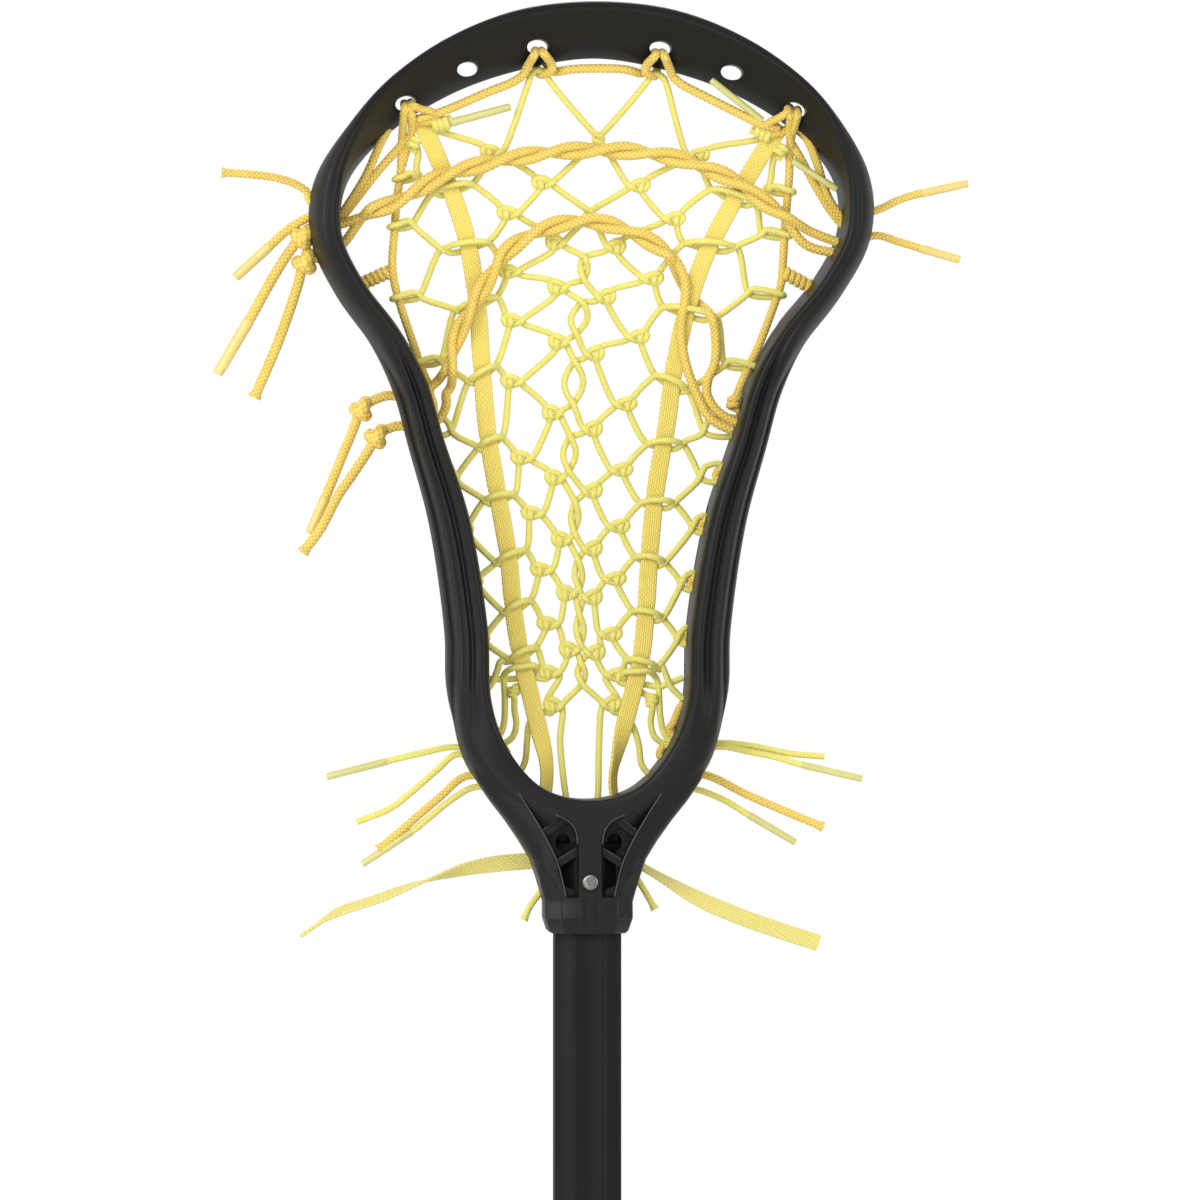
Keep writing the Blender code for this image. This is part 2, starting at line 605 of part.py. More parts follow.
def octagon(across, height):
    """An upright octagon with a flat to the front, as points at a height."""
    reach = across / 2 / math.cos(math.pi / 8)
    ring = []
    for number in range(8):
        angle = math.pi / 8 + number * math.pi / 4
        ring.append((reach * math.cos(angle), reach * math.sin(angle), height))
    return ring


def above_line(point, line):
    """A point's distance above a strut's middle line."""
    left, right = [Vector(end) for end in sorted(line)]
    along = (right - left).normalized()
    offset = Vector(point) - left
    return along.x * offset.y - along.y * offset.x


def clip(outline, line, limit, sign):
    """Keeps the part of an outline above (sign 1) or below (sign -1) a strut."""
    kept = []
    count = len(outline)
    for number in range(count):
        here = outline[number]
        after = outline[(number + 1) % count]
        one = sign * above_line(here, line) - limit
        two = sign * above_line(after, line) - limit
        if one >= 0:
            kept.append(here)
        if one * two < 0:
            share = one / (one - two)
            kept.append((here[0] + (after[0] - here[0]) * share,
                         here[1] + (after[1] - here[1]) * share))
    return kept


def window_parts():
    """The window in three parts, with the two struts left between them."""
    above = clip(WINDOW, UPPER_STRUT, STRUT / 2, 1)
    below = clip(WINDOW, UPPER_STRUT, STRUT / 2, -1)
    middle = clip(below, LOWER_STRUT, STRUT / 2, 1)
    foot = clip(below, LOWER_STRUT, STRUT / 2, -1)
    return above, middle, foot


def round_bar(start, end, wide, high, sides, up=Vector((0.0, 0.0, 1.0))):
    """A straight bar of oval section between two points."""
    along = (Vector(end) - Vector(start)).normalized()
    across = along.cross(up).normalized()
    over = across.cross(along)
    rings = []
    for centre in (start, end):
        ring = []
        for number in range(sides):
            angle = 2 * math.pi * (number + 0.5) / sides
            offset = across * math.cos(angle) * wide / 2 + over * math.sin(angle) * high / 2
            ring.append(tuple(Vector(centre) + offset))
        rings.append(ring)
    return loft(rings)


def make_head():
    head = make_ring()
    boolean(head, make_throat(), "UNION")
    for number, part in enumerate(window_parts()):
        for side in (-1, 1):
            outline = [on_throat((side * x, z)) for x, z in part]
            name = "window_%d_%s" % (number, "left" if side < 0 else "right")
            through = prism(outline, -2 * COLLAR_HALF_DEPTH, 2 * COLLAR_HALF_DEPTH)
            boolean(head, cutter(name, *through), "DIFFERENCE")
    socket = loft([octagon(SOCKET_ROOM, -COLLAR_WALL), octagon(SOCKET_ROOM, SOCKET_DEPTH)])
    boolean(head, cutter("socket", *socket), "DIFFERENCE")
    screw = round_bar((0, -2 * COLLAR_HALF_DEPTH, SCREW_HEIGHT), (0, 0, SCREW_HEIGHT),
                      SCREW_ROOM, SCREW_ROOM, 16)
    boolean(head, cutter("screw_way", *screw), "DIFFERENCE")
    slant = math.radians(SCOOP_HOLE_SLANT)
    for number, (x, z) in enumerate(SCOOP_HOLES):
        x, z = on_head((x, z))
        middle = Vector((x, SCOOP_HOLE_DEPTH, z))
        away = Vector((x / 3, 0.0, z - HEAD_LENGTH * 2 / 3)).normalized()
        way = away * math.cos(slant) + Vector((0.0, math.sin(slant), 0.0))
        tangent = Vector((away.z, 0.0, -away.x))
        reach = way * SCOOP_HOLE_REACH
        hole = round_bar(middle - reach, middle + reach, SCOOP_HOLE[1], SCOOP_HOLE[0], 14, tangent)
        boolean(head, cutter("scoop_hole_%d" % number, *hole), "DIFFERENCE")
    for side in (-1, 1):
        for number, drawn in enumerate(SIDE_HOLES):
            height = drawn * HEAD_SCALE
            inner = wall_point(side, height, 12, 0, 1.25)
            outer = wall_point(side, height, 9, 10)
            way = (outer - inner).normalized()
            start = inner - way * SIDE_HOLE
            hole = round_bar(start, outer + way * SIDE_HOLE, SIDE_HOLE, SIDE_HOLE, 8)
            name = "side_hole_%d_%s" % (number, "left" if side < 0 else "right")
            boolean(head, cutter(name, *hole), "DIFFERENCE")
    return head


def make_shaft():
    outer = SHAFT_ACROSS
    inner = SHAFT_ACROSS - 2 * SHAFT_WALL
    low = BUTT + CAP_FLOOR + GAP
    points = []
    for across, height in ((outer, low), (outer, SHAFT_TOP), (inner, SHAFT_TOP), (inner, low)):
        points += octagon(across, height)
    faces = []
    for ring in range(4):
        following = (ring + 1) % 4
        for number in range(8):
            after = (number + 1) % 8
            faces.append((ring * 8 + number, ring * 8 + after,
                          following * 8 + after, following * 8 + number))
    shaft = mesh_object("shaft", points, faces, "shaft", 30.0)
    way = round_bar((0, -SHAFT_ACROSS, SCREW_HEIGHT), (0, 0, SCREW_HEIGHT),
                    SCREW_ROOM, SCREW_ROOM, 16)
    boolean(shaft, cutter("shaft_screw_way", *way), "DIFFERENCE")
    return shaft


def make_end_cap():
    """A rubber cup over the butt end. Its parent sits at the butt on the axis."""
    joint = link(bpy.data.objects.new("end_cap_joint", None))
    joint.location = (0.0, 0.0, BUTT * MM)
    outer = SOCKET_ROOM + 2 * CAP_WALL
    rings = [octagon(outer - 2 * CAP_LEAD, 0.0), octagon(outer, CAP_LEAD),
             octagon(outer, CAP_DEPTH - CAP_LIP), octagon(outer - 2 * CAP_LIP, CAP_DEPTH),
             octagon(SOCKET_ROOM, CAP_DEPTH), octagon(SOCKET_ROOM, CAP_FLOOR)]
    cap = mesh_object("end_cap", *loft(rings), "rubber", 30.0)
    cap.parent = joint
    return cap


def make_screw():
    """A pan-head screw through the collar and the shaft's front wall."""
    face = -COLLAR_HALF_DEPTH - GAP
    tip = -SHAFT_HALF + SHAFT_WALL + SCREW_PAST_WALL
    profile = [(SCREW_SHANK / 2, tip), (SCREW_SHANK / 2, face), (SCREW_HEAD / 2, face),
               (SCREW_HEAD / 2, face - SCREW_HEAD_HIGH / 2),
               (SCREW_HEAD * 0.36, face - SCREW_HEAD_HIGH)]
    rings = []
    for radius, depth in profile:
        ring = []
        for number in range(20):
            angle = 2 * math.pi * number / 20
            ring.append((radius * math.cos(angle), depth, SCREW_HEIGHT + radius * math.sin(angle)))
        rings.append(ring)
    return mesh_object("head_screw", *loft(rings), "steel", 30.0)


def cord(name, route, diameter, finish, bulge_at=None):
    """A round cord along a smooth route of points in millimetres."""
    points = smooth_route(route, diameter * 2.4)
    curve = bpy.data.curves.new(name, "CURVE")
    curve.dimensions = "3D"
    curve.bevel_depth = diameter / 2 * MM
    curve.bevel_resolution = 2
    curve.use_fill_caps = True
    line = curve.splines.new("POLY")
    line.points.add(len(points) - 1)
    for number, (slot, point) in enumerate(zip(line.points, points)):
        slot.co = (*(point * MM), 1.0)
        slot.radius = 1.0
        if bulge_at is not None and (point - Vector(bulge_at)).length < diameter * 1.3:
            slot.radius = 1.5
    curve.materials.append(material(finish))
    return link(bpy.data.objects.new(name, curve))


def ribbon(name, route, wide, thick, finish):
    """A flat lace along a route, its flat side to the front."""
    points = smooth_route(route, wide * 1.3)
    rings = []
    for number, here in enumerate(points):
        before = points[max(number - 1, 0)]
        after = points[min(number + 1, len(points) - 1)]
        along = (after - before).normalized()
        across = along.cross(Vector((0.0, 1.0, 0.0))).normalized() * wide / 2
        deep = across.cross(along).normalized() * thick / 2
        edge = across * LACE_EDGE
        rings.append([tuple(here + edge + deep), tuple(here + across), tuple(here + edge - deep),
                      tuple(here - edge - deep), tuple(here - across), tuple(here - edge + deep)])
    return mesh_object(name, *loft(rings), finish, 50.0)


def strung(route, forward):
    """Points on the strings' surface, moved towards the front."""
    placed = []
    for point in route:
        x, z = on_head(point)
        placed.append((x, net_depth(x, z) - forward, z))
    return placed


class Net:
    """String between joints: each joint has a place and half a thickness."""

    def __init__(self):
        self.places = []
        self.halves = []
        self.strands = []

    def joint(self, place, half=NET_CORD / 2):
        x, z = on_head(place)
        self.places.append((x, z))
        self.halves.append(half)
        return len(self.places) - 1

    def strand(self, one, two):
        self.strands.append((one, two))

    def path(self, *joints):
        for one, two in zip(joints, joints[1:]):
            self.strand(one, two)

    def knot(self, place):
        """A knot is a short thick strand from its left to its right end."""
        x, z = place
        left = self.joint((x - KNOT_HALF, z), KNOT_SIZE / 2)
        right = self.joint((x + KNOT_HALF, z), KNOT_SIZE / 2)
        self.strand(left, right)
        return left, right

    def build(self, name):
        """One closed body: strands of diamond section, mitred where they meet."""
        around = {number: [] for number in range(len(self.places))}
        for one, two in self.strands:
            around[one].append(two)
            around[two].append(one)
        points = []
        fronts = {}
        corners = {}
        for number, others in around.items():
            x, z = self.places[number]
            half = self.halves[number]
            depth = net_depth(x, z)
            turns = sorted((math.atan2(self.places[other][1] - z, self.places[other][0] - x), other)
                           for other in others)
            fronts[number] = len(points)
            points += [(x, depth - half, z), (x, depth + half, z)]
            if len(turns) == 1:
                angle, other = turns[0]
                for side, turn in (("after", math.pi / 2), ("before", -math.pi / 2)):
                    corners[number, other, side] = len(points)
                    points.append((x + half * math.cos(angle + turn), depth,
                                   z + half * math.sin(angle + turn)))
                continue
            for place, (angle, other) in enumerate(turns):
                following, following_other = turns[(place + 1) % len(turns)]
                spread = (following - angle) % (2 * math.pi)
                reach = half / math.sin(spread / 2)
                if spread > math.pi:
                    reach = min(reach, half * 1.3)
                middle = angle + spread / 2
                corners[number, other, "after"] = len(points)
                corners[number, following_other, "before"] = len(points)
                points.append((x + reach * math.cos(middle), depth, z + reach * math.sin(middle)))
        faces = []
        for one, two in self.strands:
            left_one = corners[one, two, "after"]
            right_one = corners[one, two, "before"]
            left_two = corners[two, one, "before"]
            right_two = corners[two, one, "after"]
            front_one = fronts[one]
            front_two = fronts[two]
            faces.append((front_one, front_two, left_two, left_one))
            faces.append((front_one, right_one, right_two, front_two))
            faces.append((front_one + 1, left_one, left_two, front_two + 1))
            faces.append((front_one + 1, front_two + 1, right_two, right_one))
        for number, others in around.items():
            if len(others) == 1:
                other = others[0]
                faces.append((fronts[number], corners[number, other, "after"],
                              fronts[number] + 1, corners[number, other, "before"]))
        return mesh_object(name, points, faces, "lemon", 60.0)


def route_x(route, height):
    """Sideways place of a falling route at a height, in drawn millimetres."""
    for one, two in zip(route, route[1:]):
        if one[1] >= height >= two[1]:
            return one[0] + (two[0] - one[0]) * (one[1] - height) / (one[1] - two[1])
    return route[-1][0]


def wall_anchor(side, height):
    """Where a strand of the net ends, close to a sidewall."""
    inner = wall_point(side, height * HEAD_SCALE, 0, 1)
    return (inner.x - side * WALL_ROOM) / SIDE_SCALE, height


def side_anchor(side, height, string):
    """Where a loop of the net ends: at the sidewall string, or at the wall below it."""
    if height > string[-1][1] + 4.0:
        x = route_x(string, height)
        room = (GOLD_CORD / 2 + GAP + LAYER_ROOM) / SIDE_SCALE
        return x - side * room, height
    return wall_anchor(side, height)


def side_joints(net, side, places):
    """The joints beside a sidewall. Low down they lie right at the wall."""
    joints = []
    for x, z in places:
        limit = wall_anchor(side, z)[0] - side * WALL_TURN / SIDE_SCALE
        joints.append(net.joint((side * min(side * x, side * limit), z)))
    return joints


def make_net():
    """The cross-lace, one string woven in diamonds from side to side."""
    net = Net()
    left_side = side_joints(net, -1, LEFT_SIDE)
    right_side = side_joints(net, 1, RIGHT_SIDE)
    left_out = [net.joint(place) for place in LEFT_WRAP_OUT]
    left_in = [net.joint(place) for place in LEFT_WRAP_IN]
    right_in = [net.joint(place) for place in RIGHT_WRAP_IN]
    right_out = [net.joint(place) for place in RIGHT_WRAP_OUT]
    left_mid = [net.knot(place) for place in LEFT_MID]
    right_mid = [net.knot(place) for place in RIGHT_MID]
    left_centre = [net.knot(place) for place in LEFT_CENTRE]
    right_centre = [net.knot(place) for place in RIGHT_CENTRE]
    twist_top = [net.joint(place) for place in TWIST_TOP]
    twist_end = [net.joint(place) for place in TWIST_END]

    for row in range(9):
        net.strand(left_out[row], left_in[row])
        net.strand(right_in[row], right_out[row])
        net.strand(left_in[row], left_mid[row + 1][0])
        net.strand(right_in[row], right_mid[row + 1][1])
    for row in range(1, 9):
        net.strand(left_mid[row][0], left_in[row])
        net.strand(right_mid[row][1], right_in[row])
    for row in range(8):
        net.path(left_mid[row + 1][1], left_centre[row][0], left_mid[row + 2][1])
        net.path(right_mid[row + 1][0], right_centre[row][1], right_mid[row + 2][0])
        net.path(left_centre[row][1], twist_top[row], right_centre[row][0])
        if row in OPEN_TWISTS:
            middle = [(a + b) / 2 for a, b in zip(TWIST_TOP[row], TWIST_END[row])]
            for side in (-1, 1):
                bulge = net.joint((middle[0] + side * OPEN_TWISTS[row] / 2, middle[1]))
                net.path(twist_top[row], bulge, twist_end[row])
        else:
            net.strand(twist_top[row], twist_end[row])
        net.path(left_centre[row + 1][1], twist_end[row], right_centre[row + 1][0])
    net.strand(left_mid[9][1], left_centre[8][0])
    net.strand(right_mid[9][0], right_centre[8][1])

    for outs, sides, string, side in ((left_out, left_side, LEFT_SIDE_STRING, -1),
                                      (right_out, right_side, RIGHT_SIDE_STRING, 1)):
        for row, joint in enumerate(sides):
            net.strand(joint, outs[row])
            if row > 0:
                net.strand(outs[row - 1], joint)
            if row < HANGING_ROWS:
                height = net.places[joint][1] / HEAD_SCALE
                net.strand(joint, net.joint(side_anchor(side, height, string)))

    top_left = net.knot(TOP_LEFT_KNOT)
    top_right = net.knot(TOP_RIGHT_KNOT)
    middle = net.joint(TOP_MIDDLE)
    crossing = net.joint(TOP_CROSSING)
    net.path(left_mid[0][1], top_left[0], left_mid[1][1])
    net.path(right_mid[0][0], top_right[1], right_mid[1][0])
    net.path(top_left[1], middle, top_right[0])
    net.path(top_left[1], crossing, top_right[0])
    net.path(left_centre[0][1], crossing, right_centre[0][0])
    net.strand(left_mid[0][0], left_in[0])
    net.strand(right_mid[0][1], right_in[0])
    for start, end in zip((left_mid[0][1], middle, middle, right_mid[0][0]), SCOOP_ENDS):
        net.strand(start, net.joint(end))
    for start, end in zip((left_mid[0][0], right_mid[0][1]), CORNER_ENDS):
        net.strand(start, net.joint(end))
    for start, end in zip((left_side[0], right_side[0]), SIDE_ENDS):
        net.strand(start, net.joint(end))
    for start, end in zip((left_centre[8][0], right_centre[8][1]), STOP_ENDS):
        net.strand(start, net.joint(end))
    for side, mid, knot, out in ((-1, left_mid[9][0], left_centre[8][0], left_out[8]),
                                 (1, right_mid[9][1], right_centre[8][1], right_out[8])):
        net.path(knot, *[net.joint((side * x, z)) for x, z in FOOT_CORD])
        cross, first, second = [net.joint((side * x, z)) for x, z in LAST_ROW]
        low_wall, high_wall = [net.joint(wall_anchor(side, height)) for height in LAST_ROW_WALLS]
        net.path(out, cross, low_wall)
        net.path(high_wall, cross, first, second, mid)
        outer, end = [net.joint((side * x, z)) for x, z in OUTER_DROP]
        net.path(first, outer, end)
        net.path(second, *[net.joint((side * x, z)) for x, z in INNER_DROP], end)
    return net.build("cross_lace_net")


def lump(name, centre, halves):
    """A wrapped knot as a rounded lump."""
    cx, cz = on_head(centre)
    cy = net_depth(cx, cz) - KNOT_FORWARD
    rings = []
    for band in range(1, 6):
        level = -math.cos(math.pi * band / 6)
        round_in = math.sin(math.pi * band / 6)
        ring = []
        for number in range(10):
            angle = 2 * math.pi * number / 10
            ring.append((cx + halves[0] * level, cy + halves[1] * round_in * math.cos(angle),
                         cz + halves[2] * round_in * math.sin(angle)))
        rings.append(ring)
    return mesh_object(name, *loft(rings), "gold", 70.0)


def make_tail(name, hole, route, aglet=0.0, knot=0, lemon=False, drop=0.0, swing=TAIL_SWING):
    """A free string end out of a sidewall hole, with its aglet if it has one.

    It moves with its hole, and keeps its own length and shape.
    """
    side = -1 if route[0][0] < 0 else 1
    diameter = NET_CORD if lemon else GOLD_CORD
    height = hole * HEAD_SCALE + drop
    outer = wall_point(side, height, 9, 10)
    inner = wall_point(side, height, 12, 0, 1.25)
    way = (outer - inner).normalized()
    edge, outward, wide = rail_place(side, hole * HEAD_SCALE)
    flat_out = Vector((outward.x, 0.0, outward.y))
    start = outer + flat_out * TAIL_CLEAR
    points = [start, start + way * diameter * 1.5]
    depth = points[1].y
    moved_x = edge.x - edge.x / SIDE_SCALE
    moved_z = hole * HEAD_SCALE - hole
    for number, (x, z) in enumerate(route):
        back = swing * (number + 1) / len(route)
        points.append(Vector((x + moved_x, depth + back, z + moved_z)))
    finish = "lemon" if lemon else "gold"
    bulge = points[2] if knot else None
    if not aglet:
        cord(name, points, diameter, finish, bulge)
        return
    end = points[-1]
    back = (points[-2] - end).normalized()
    start = end + back * aglet
    reach = (points[-2] - end).length
    kept = points[:-1] if aglet < reach - diameter else points[:-2]
    cord(name, kept + [start + back * diameter, start], diameter, finish, bulge)
    direction = (end - start).normalized()
    bar = round_bar(start + direction * GAP, end, AGLET_CORD, AGLET_CORD, 8)
    mesh_object(name.replace("tail", "aglet"), *bar, "aglet", 50.0)


def make_strings():
    make_net()
    ribbon("runner_left", strung(LEFT_RUNNER, RUNNER_FRONT), RUNNER_WIDTH, RUNNER_THICK, "lace")
    ribbon("runner_right", strung(RIGHT_RUNNER, RUNNER_FRONT), RUNNER_WIDTH, RUNNER_THICK, "lace")
    cord("top_string", strung(TOP_STRING, TOP_FRONT), GOLD_CORD, "gold")
    cord("sidewall_string_left", strung(LEFT_SIDE_STRING, 0.0), GOLD_CORD, "gold")
    cord("sidewall_string_right", strung(RIGHT_SIDE_STRING, 0.0), GOLD_CORD, "gold")
    cord("corner_tie_left", strung(LEFT_TIE, 0.0), GOLD_CORD, "gold")
    cord("corner_tie_right", strung(RIGHT_TIE, 0.0), GOLD_CORD, "gold")
    cord("shooting_string_upper", strung(UPPER_SHOOTING, SHOOTING_FRONT), SHOOTING_CORD, "gold")
    cord("shooting_string_lower", strung(LOWER_SHOOTING, SHOOTING_FRONT), SHOOTING_CORD, "gold")
    for name, (centre, halves) in KNOTS.items():
        lump(name, centre, halves)
    for name, ends in INNER_AGLETS.items():
        (start_x, start_z), (end_x, end_z) = [on_head(end[:2]) for end in ends]
        bar = round_bar((start_x, ends[0][2], start_z), (end_x, ends[1][2], end_z),
                        AGLET_CORD, AGLET_CORD, 8)
        mesh_object(name, *bar, "aglet", 50.0)


def make_tails():
    for name, facts in TAILS.items():
        make_tail(name, **facts)
    for name, route in LACE_TAILS.items():
        placed = [(x, NET_BACK_LOW, z) for x, z in map(on_throat, route)]
        ribbon(name, placed, LACE_WIDTH, LACE_THICK, "lace")
    for name, route in SHORT_TAILS.items():
        placed = [(x, NET_BACK_LOW, z) for x, z in map(on_throat, route)]
        cord(name, placed, NET_CORD, "lemon")


clear_scene()
make_head()
make_shaft()
make_end_cap()
make_screw()
make_strings()
make_tails()
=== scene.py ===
# %% [markdown]
# # A women's lacrosse stick
#
# The stick has a moulded plastic head, a hollow octagonal shaft with a rubber cap, and
# a pocket strung by hand: thin lemon cord woven in diamonds, two flat laces called
# runners, and thicker gold cords along the scoop and the sidewalls. This lesson models
# each piece at its real size, in millimetres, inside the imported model's frame. +Z runs
# up the shaft to the scoop, and the side that carries the ball looks to -Y.

# %% Load the frame
import math

import bmesh
import bpy
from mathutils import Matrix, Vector


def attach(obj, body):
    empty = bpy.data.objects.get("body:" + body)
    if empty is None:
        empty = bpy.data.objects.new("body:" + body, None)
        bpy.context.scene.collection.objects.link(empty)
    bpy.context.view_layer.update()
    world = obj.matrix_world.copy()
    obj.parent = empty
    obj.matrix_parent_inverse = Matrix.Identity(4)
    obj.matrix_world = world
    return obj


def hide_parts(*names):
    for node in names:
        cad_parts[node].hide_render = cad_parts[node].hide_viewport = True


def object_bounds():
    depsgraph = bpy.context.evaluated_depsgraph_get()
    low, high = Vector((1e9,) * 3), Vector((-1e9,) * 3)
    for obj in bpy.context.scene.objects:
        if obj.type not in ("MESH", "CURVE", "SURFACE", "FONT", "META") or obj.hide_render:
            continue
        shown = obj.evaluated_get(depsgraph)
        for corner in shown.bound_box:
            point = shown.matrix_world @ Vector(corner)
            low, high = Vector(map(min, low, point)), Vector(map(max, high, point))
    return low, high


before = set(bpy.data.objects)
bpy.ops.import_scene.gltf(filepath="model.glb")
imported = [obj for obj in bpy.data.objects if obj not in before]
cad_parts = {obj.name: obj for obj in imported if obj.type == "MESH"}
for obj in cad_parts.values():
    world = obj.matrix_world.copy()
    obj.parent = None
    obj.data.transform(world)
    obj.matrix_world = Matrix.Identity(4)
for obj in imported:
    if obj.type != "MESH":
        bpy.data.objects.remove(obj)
cad_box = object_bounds()
MM = 0.001


def add_object(name, data):
    """Puts a mesh, lamp, curve or camera into the scene."""
    made = bpy.data.objects.new(name, data)
    bpy.context.scene.collection.objects.link(made)
    return made


# %% [markdown]
# ## Camera, lights and floor
#
# The photograph is a studio shot from far away and straight ahead, a few degrees to the
# stick's left. A long lens keeps that flat look. Black plastic shows its form by what it
# mirrors, so large soft lamps stand to the left, to the right, in front and above behind,
# and the world adds an even grey. One hard lamp would leave most of the head a black
# shape. The white background is only what the camera sees of the world. The floor lies
# as low as the end cap comes when it is pulled off, so the cap stays in sight.

# %% Camera
FRAME_WIDTH = 454.8
TARGET = Vector((4.9, 0.0, 126.0))
DISTANCE = 4000.0
AZIMUTH = math.radians(-4.0)
SENSOR = 36.0

camera_data = bpy.data.cameras.new("camera")
camera_data.sensor_width = SENSOR
camera_data.lens = SENSOR * DISTANCE / FRAME_WIDTH
camera_data.clip_start = 0.1
camera_data.clip_end = 50.0
camera = add_object("camera", camera_data)
camera.location = (TARGET + Vector((math.sin(AZIMUTH), -math.cos(AZIMUTH), 0)) * DISTANCE) * MM
camera.rotation_euler = (math.radians(90), 0, AZIMUTH)
bpy.context.scene.camera = camera
bpy.context.scene.view_settings.view_transform = "Standard"
print("lens %.0f mm" % camera_data.lens)


# %% Lamps: place and size in metres, watts
HEAD_MIDDLE = Vector((0.0, 0.0, 0.15))
LAMPS = {
    "key_left": ((-1.7, -2.4, 1.2), 1.2, 42.0),
    "side_left": ((-2.5, -0.1, 0.35), 1.0, 14.0),
    "fill_right": ((2.4, -1.4, 0.5), 1.2, 19.0),
    "front_high": ((-0.4, -3.2, 2.2), 1.4, 26.0),
    "front_low": ((-0.7, -3.1, -0.5), 1.0, 15.0),
    "top_back": ((0.3, 1.4, 2.2), 1.2, 24.0),
}


def area_lamp(name, place, size, watts):
    """A square soft lamp that looks at the middle of the head."""
    data = bpy.data.lights.new(name, "AREA")
    data.size = size
    data.energy = watts
    lamp = add_object(name, data)
    lamp.location = place
    lamp.rotation_euler = (HEAD_MIDDLE - Vector(place)).to_track_quat("-Z", "Y").to_euler()


for name, facts in LAMPS.items():
    area_lamp(name, *facts)
print("lamps:", ", ".join(LAMPS))

# %% [markdown]
# ## Node trees as formulas
#
# A weave or a grain is a formula, and a formula reads badly as a heap of node calls.
# The class below wraps one socket of a node tree. Python's operators on it add Math
# nodes, so `1 - ridge * 0.5` works as it is written, and `node` adds any other node.
# It serves shader trees and geometry trees alike, because both have Math nodes.


# %% A socket with operators
class Wire:
    """An output socket that Python's operators build Math nodes on."""

    def __init__(self, socket):
        self.socket = socket
        self.tree = socket.id_data

    @staticmethod
    def node(tree, kind, settings=None, values=None, output=0):
        """Adds a node, with its settings first, and returns one of its outputs."""
        made = tree.nodes.new(kind)
        for key, value in (settings or {}).items():
            setattr(made, key, value)
        for key, value in (values or {}).items():
            if isinstance(value, Wire):
                tree.links.new(value.socket, made.inputs[key])
            else:
                made.inputs[key].default_value = value
        return Wire(made.outputs[output])

    def math(self, operation, *others):
        values = dict(enumerate((self, *others)))
        return Wire.node(self.tree, "ShaderNodeMath", {"operation": operation}, values)

    def __add__(self, other):
        return self.math("ADD", other)

    __radd__ = __add__

    def __sub__(self, other):
        return self.math("SUBTRACT", other)

    def __rsub__(self, other):
        return (self * -1.0) + other

    def __mul__(self, other):
        return self.math("MULTIPLY", other)

    __rmul__ = __mul__

    def floor(self):
        return self.math("FLOOR")

    def fract(self):
        return self.math("FRACT")


node = Wire.node


def split(wire):
    """The first two parts of a vector."""
    parts = node(wire.tree, "ShaderNodeSeparateXYZ", None, {"Vector": wire}).socket.node
    return Wire(parts.outputs["X"]), Wire(parts.outputs["Y"])


def hump(wire):
    """0 at both ends of each step of 1, and 1 in its middle."""
    offset = wire.fract() * 2.0 - 1.0
    return 1.0 - offset * offset


# %% World and floor
ROOM_STRENGTH = 0.70
WHITE = (1, 1, 1, 1)
FLOOR_HALF = 3.0
FLOOR_PAINT = (0.8, 0.8, 0.8, 1)
FLOOR_ROUGH = 0.7
CAP_WAY_OFF = 0.045


def make_world():
    """White for the camera and for glass, an even grey for everything else."""
    world = bpy.data.worlds.new("studio")
    world.use_nodes = True
    bpy.context.scene.world = world
    tree = world.node_tree
    room = tree.nodes["Background"]
    room.inputs["Color"].default_value = WHITE
    room.inputs["Strength"].default_value = ROOM_STRENGTH
    white = node(tree, "ShaderNodeBackground", None, {"Color": WHITE})
    seen = node(tree, "ShaderNodeLightPath", output="Is Camera Ray")
    through = Wire(seen.socket.node.outputs["Is Transmission Ray"])
    chosen = node(tree, "ShaderNodeMixShader", None,
                  {0: seen.math("MAXIMUM", through), 1: Wire(room.outputs[0]), 2: white})
    tree.links.new(chosen.socket, tree.nodes["World Output"].inputs["Surface"])


def make_floor(height):
    mesh = bpy.data.meshes.new("floor")
    corners = [(-1, -1), (1, -1), (1, 1), (-1, 1)]
    mesh.from_pydata([(x * FLOOR_HALF, y * FLOOR_HALF, height) for x, y in corners],
                     [], [(0, 1, 2, 3)])
    paint = bpy.data.materials.new("floor_paint")
    paint.use_nodes = True
    shader = paint.node_tree.nodes["Principled BSDF"]
    shader.inputs["Base Color"].default_value = FLOOR_PAINT
    shader.inputs["Roughness"].default_value = FLOOR_ROUGH
    mesh.materials.append(paint)
    add_object("floor", mesh)


floor_height = cad_box[0][2] - CAP_WAY_OFF
make_world()
make_floor(floor_height)
print("floor at %.4f m" % floor_height)

# %% [markdown]
# ## Braided cord
#
# Braid is two families of yarns that wind round a core, one each way, over and under
# each other. A model of every yarn would take millions of faces, and a picture of braid
# would fit one thickness only, so it is a formula here. Two numbers say where a point of
# the surface is in the pattern: how far along the cord it is, and where round it. Their
# sum and their difference count the yarns of each family, and the parity of the two
# counts says which family is on top. The same formula lifts the surface of the gold
# cords in Geometry Nodes and colours every cord in the shader. The thin lemon cord is
# swept without relief.


# %% The braid's formula
def braid(along, around_x, around_y, yarns, cell):
    """Height of the braid, 0 in its grooves and 1 on its yarns, and the lie of them."""
    turn = around_y.math("ARCTAN2", around_x) * (yarns / math.tau)
    step = along * (1.0 / cell)
    one = turn + step
    two = turn - step
    over = ((one.floor() + two.floor()) * 0.5).fract() * 2.0
    first = hump(one) * (hump(two) * 0.35 + 0.65)
    second = hump(two) * (hump(one) * 0.35 + 0.65)
    height = over * first + (1.0 - over) * second
    across = over * one + (1.0 - over) * two
    return height, across


# %% The cord's tree
GOLD_SIDES = 20
GOLD_YARNS = 5
GOLD_CELL = 1.8
GOLD_RELIEF = 0.20
LEMON_SIDES = 14
LEMON_YARNS = 5
LEMON_CELL = 1.5
MEAN_HEIGHT = 0.6


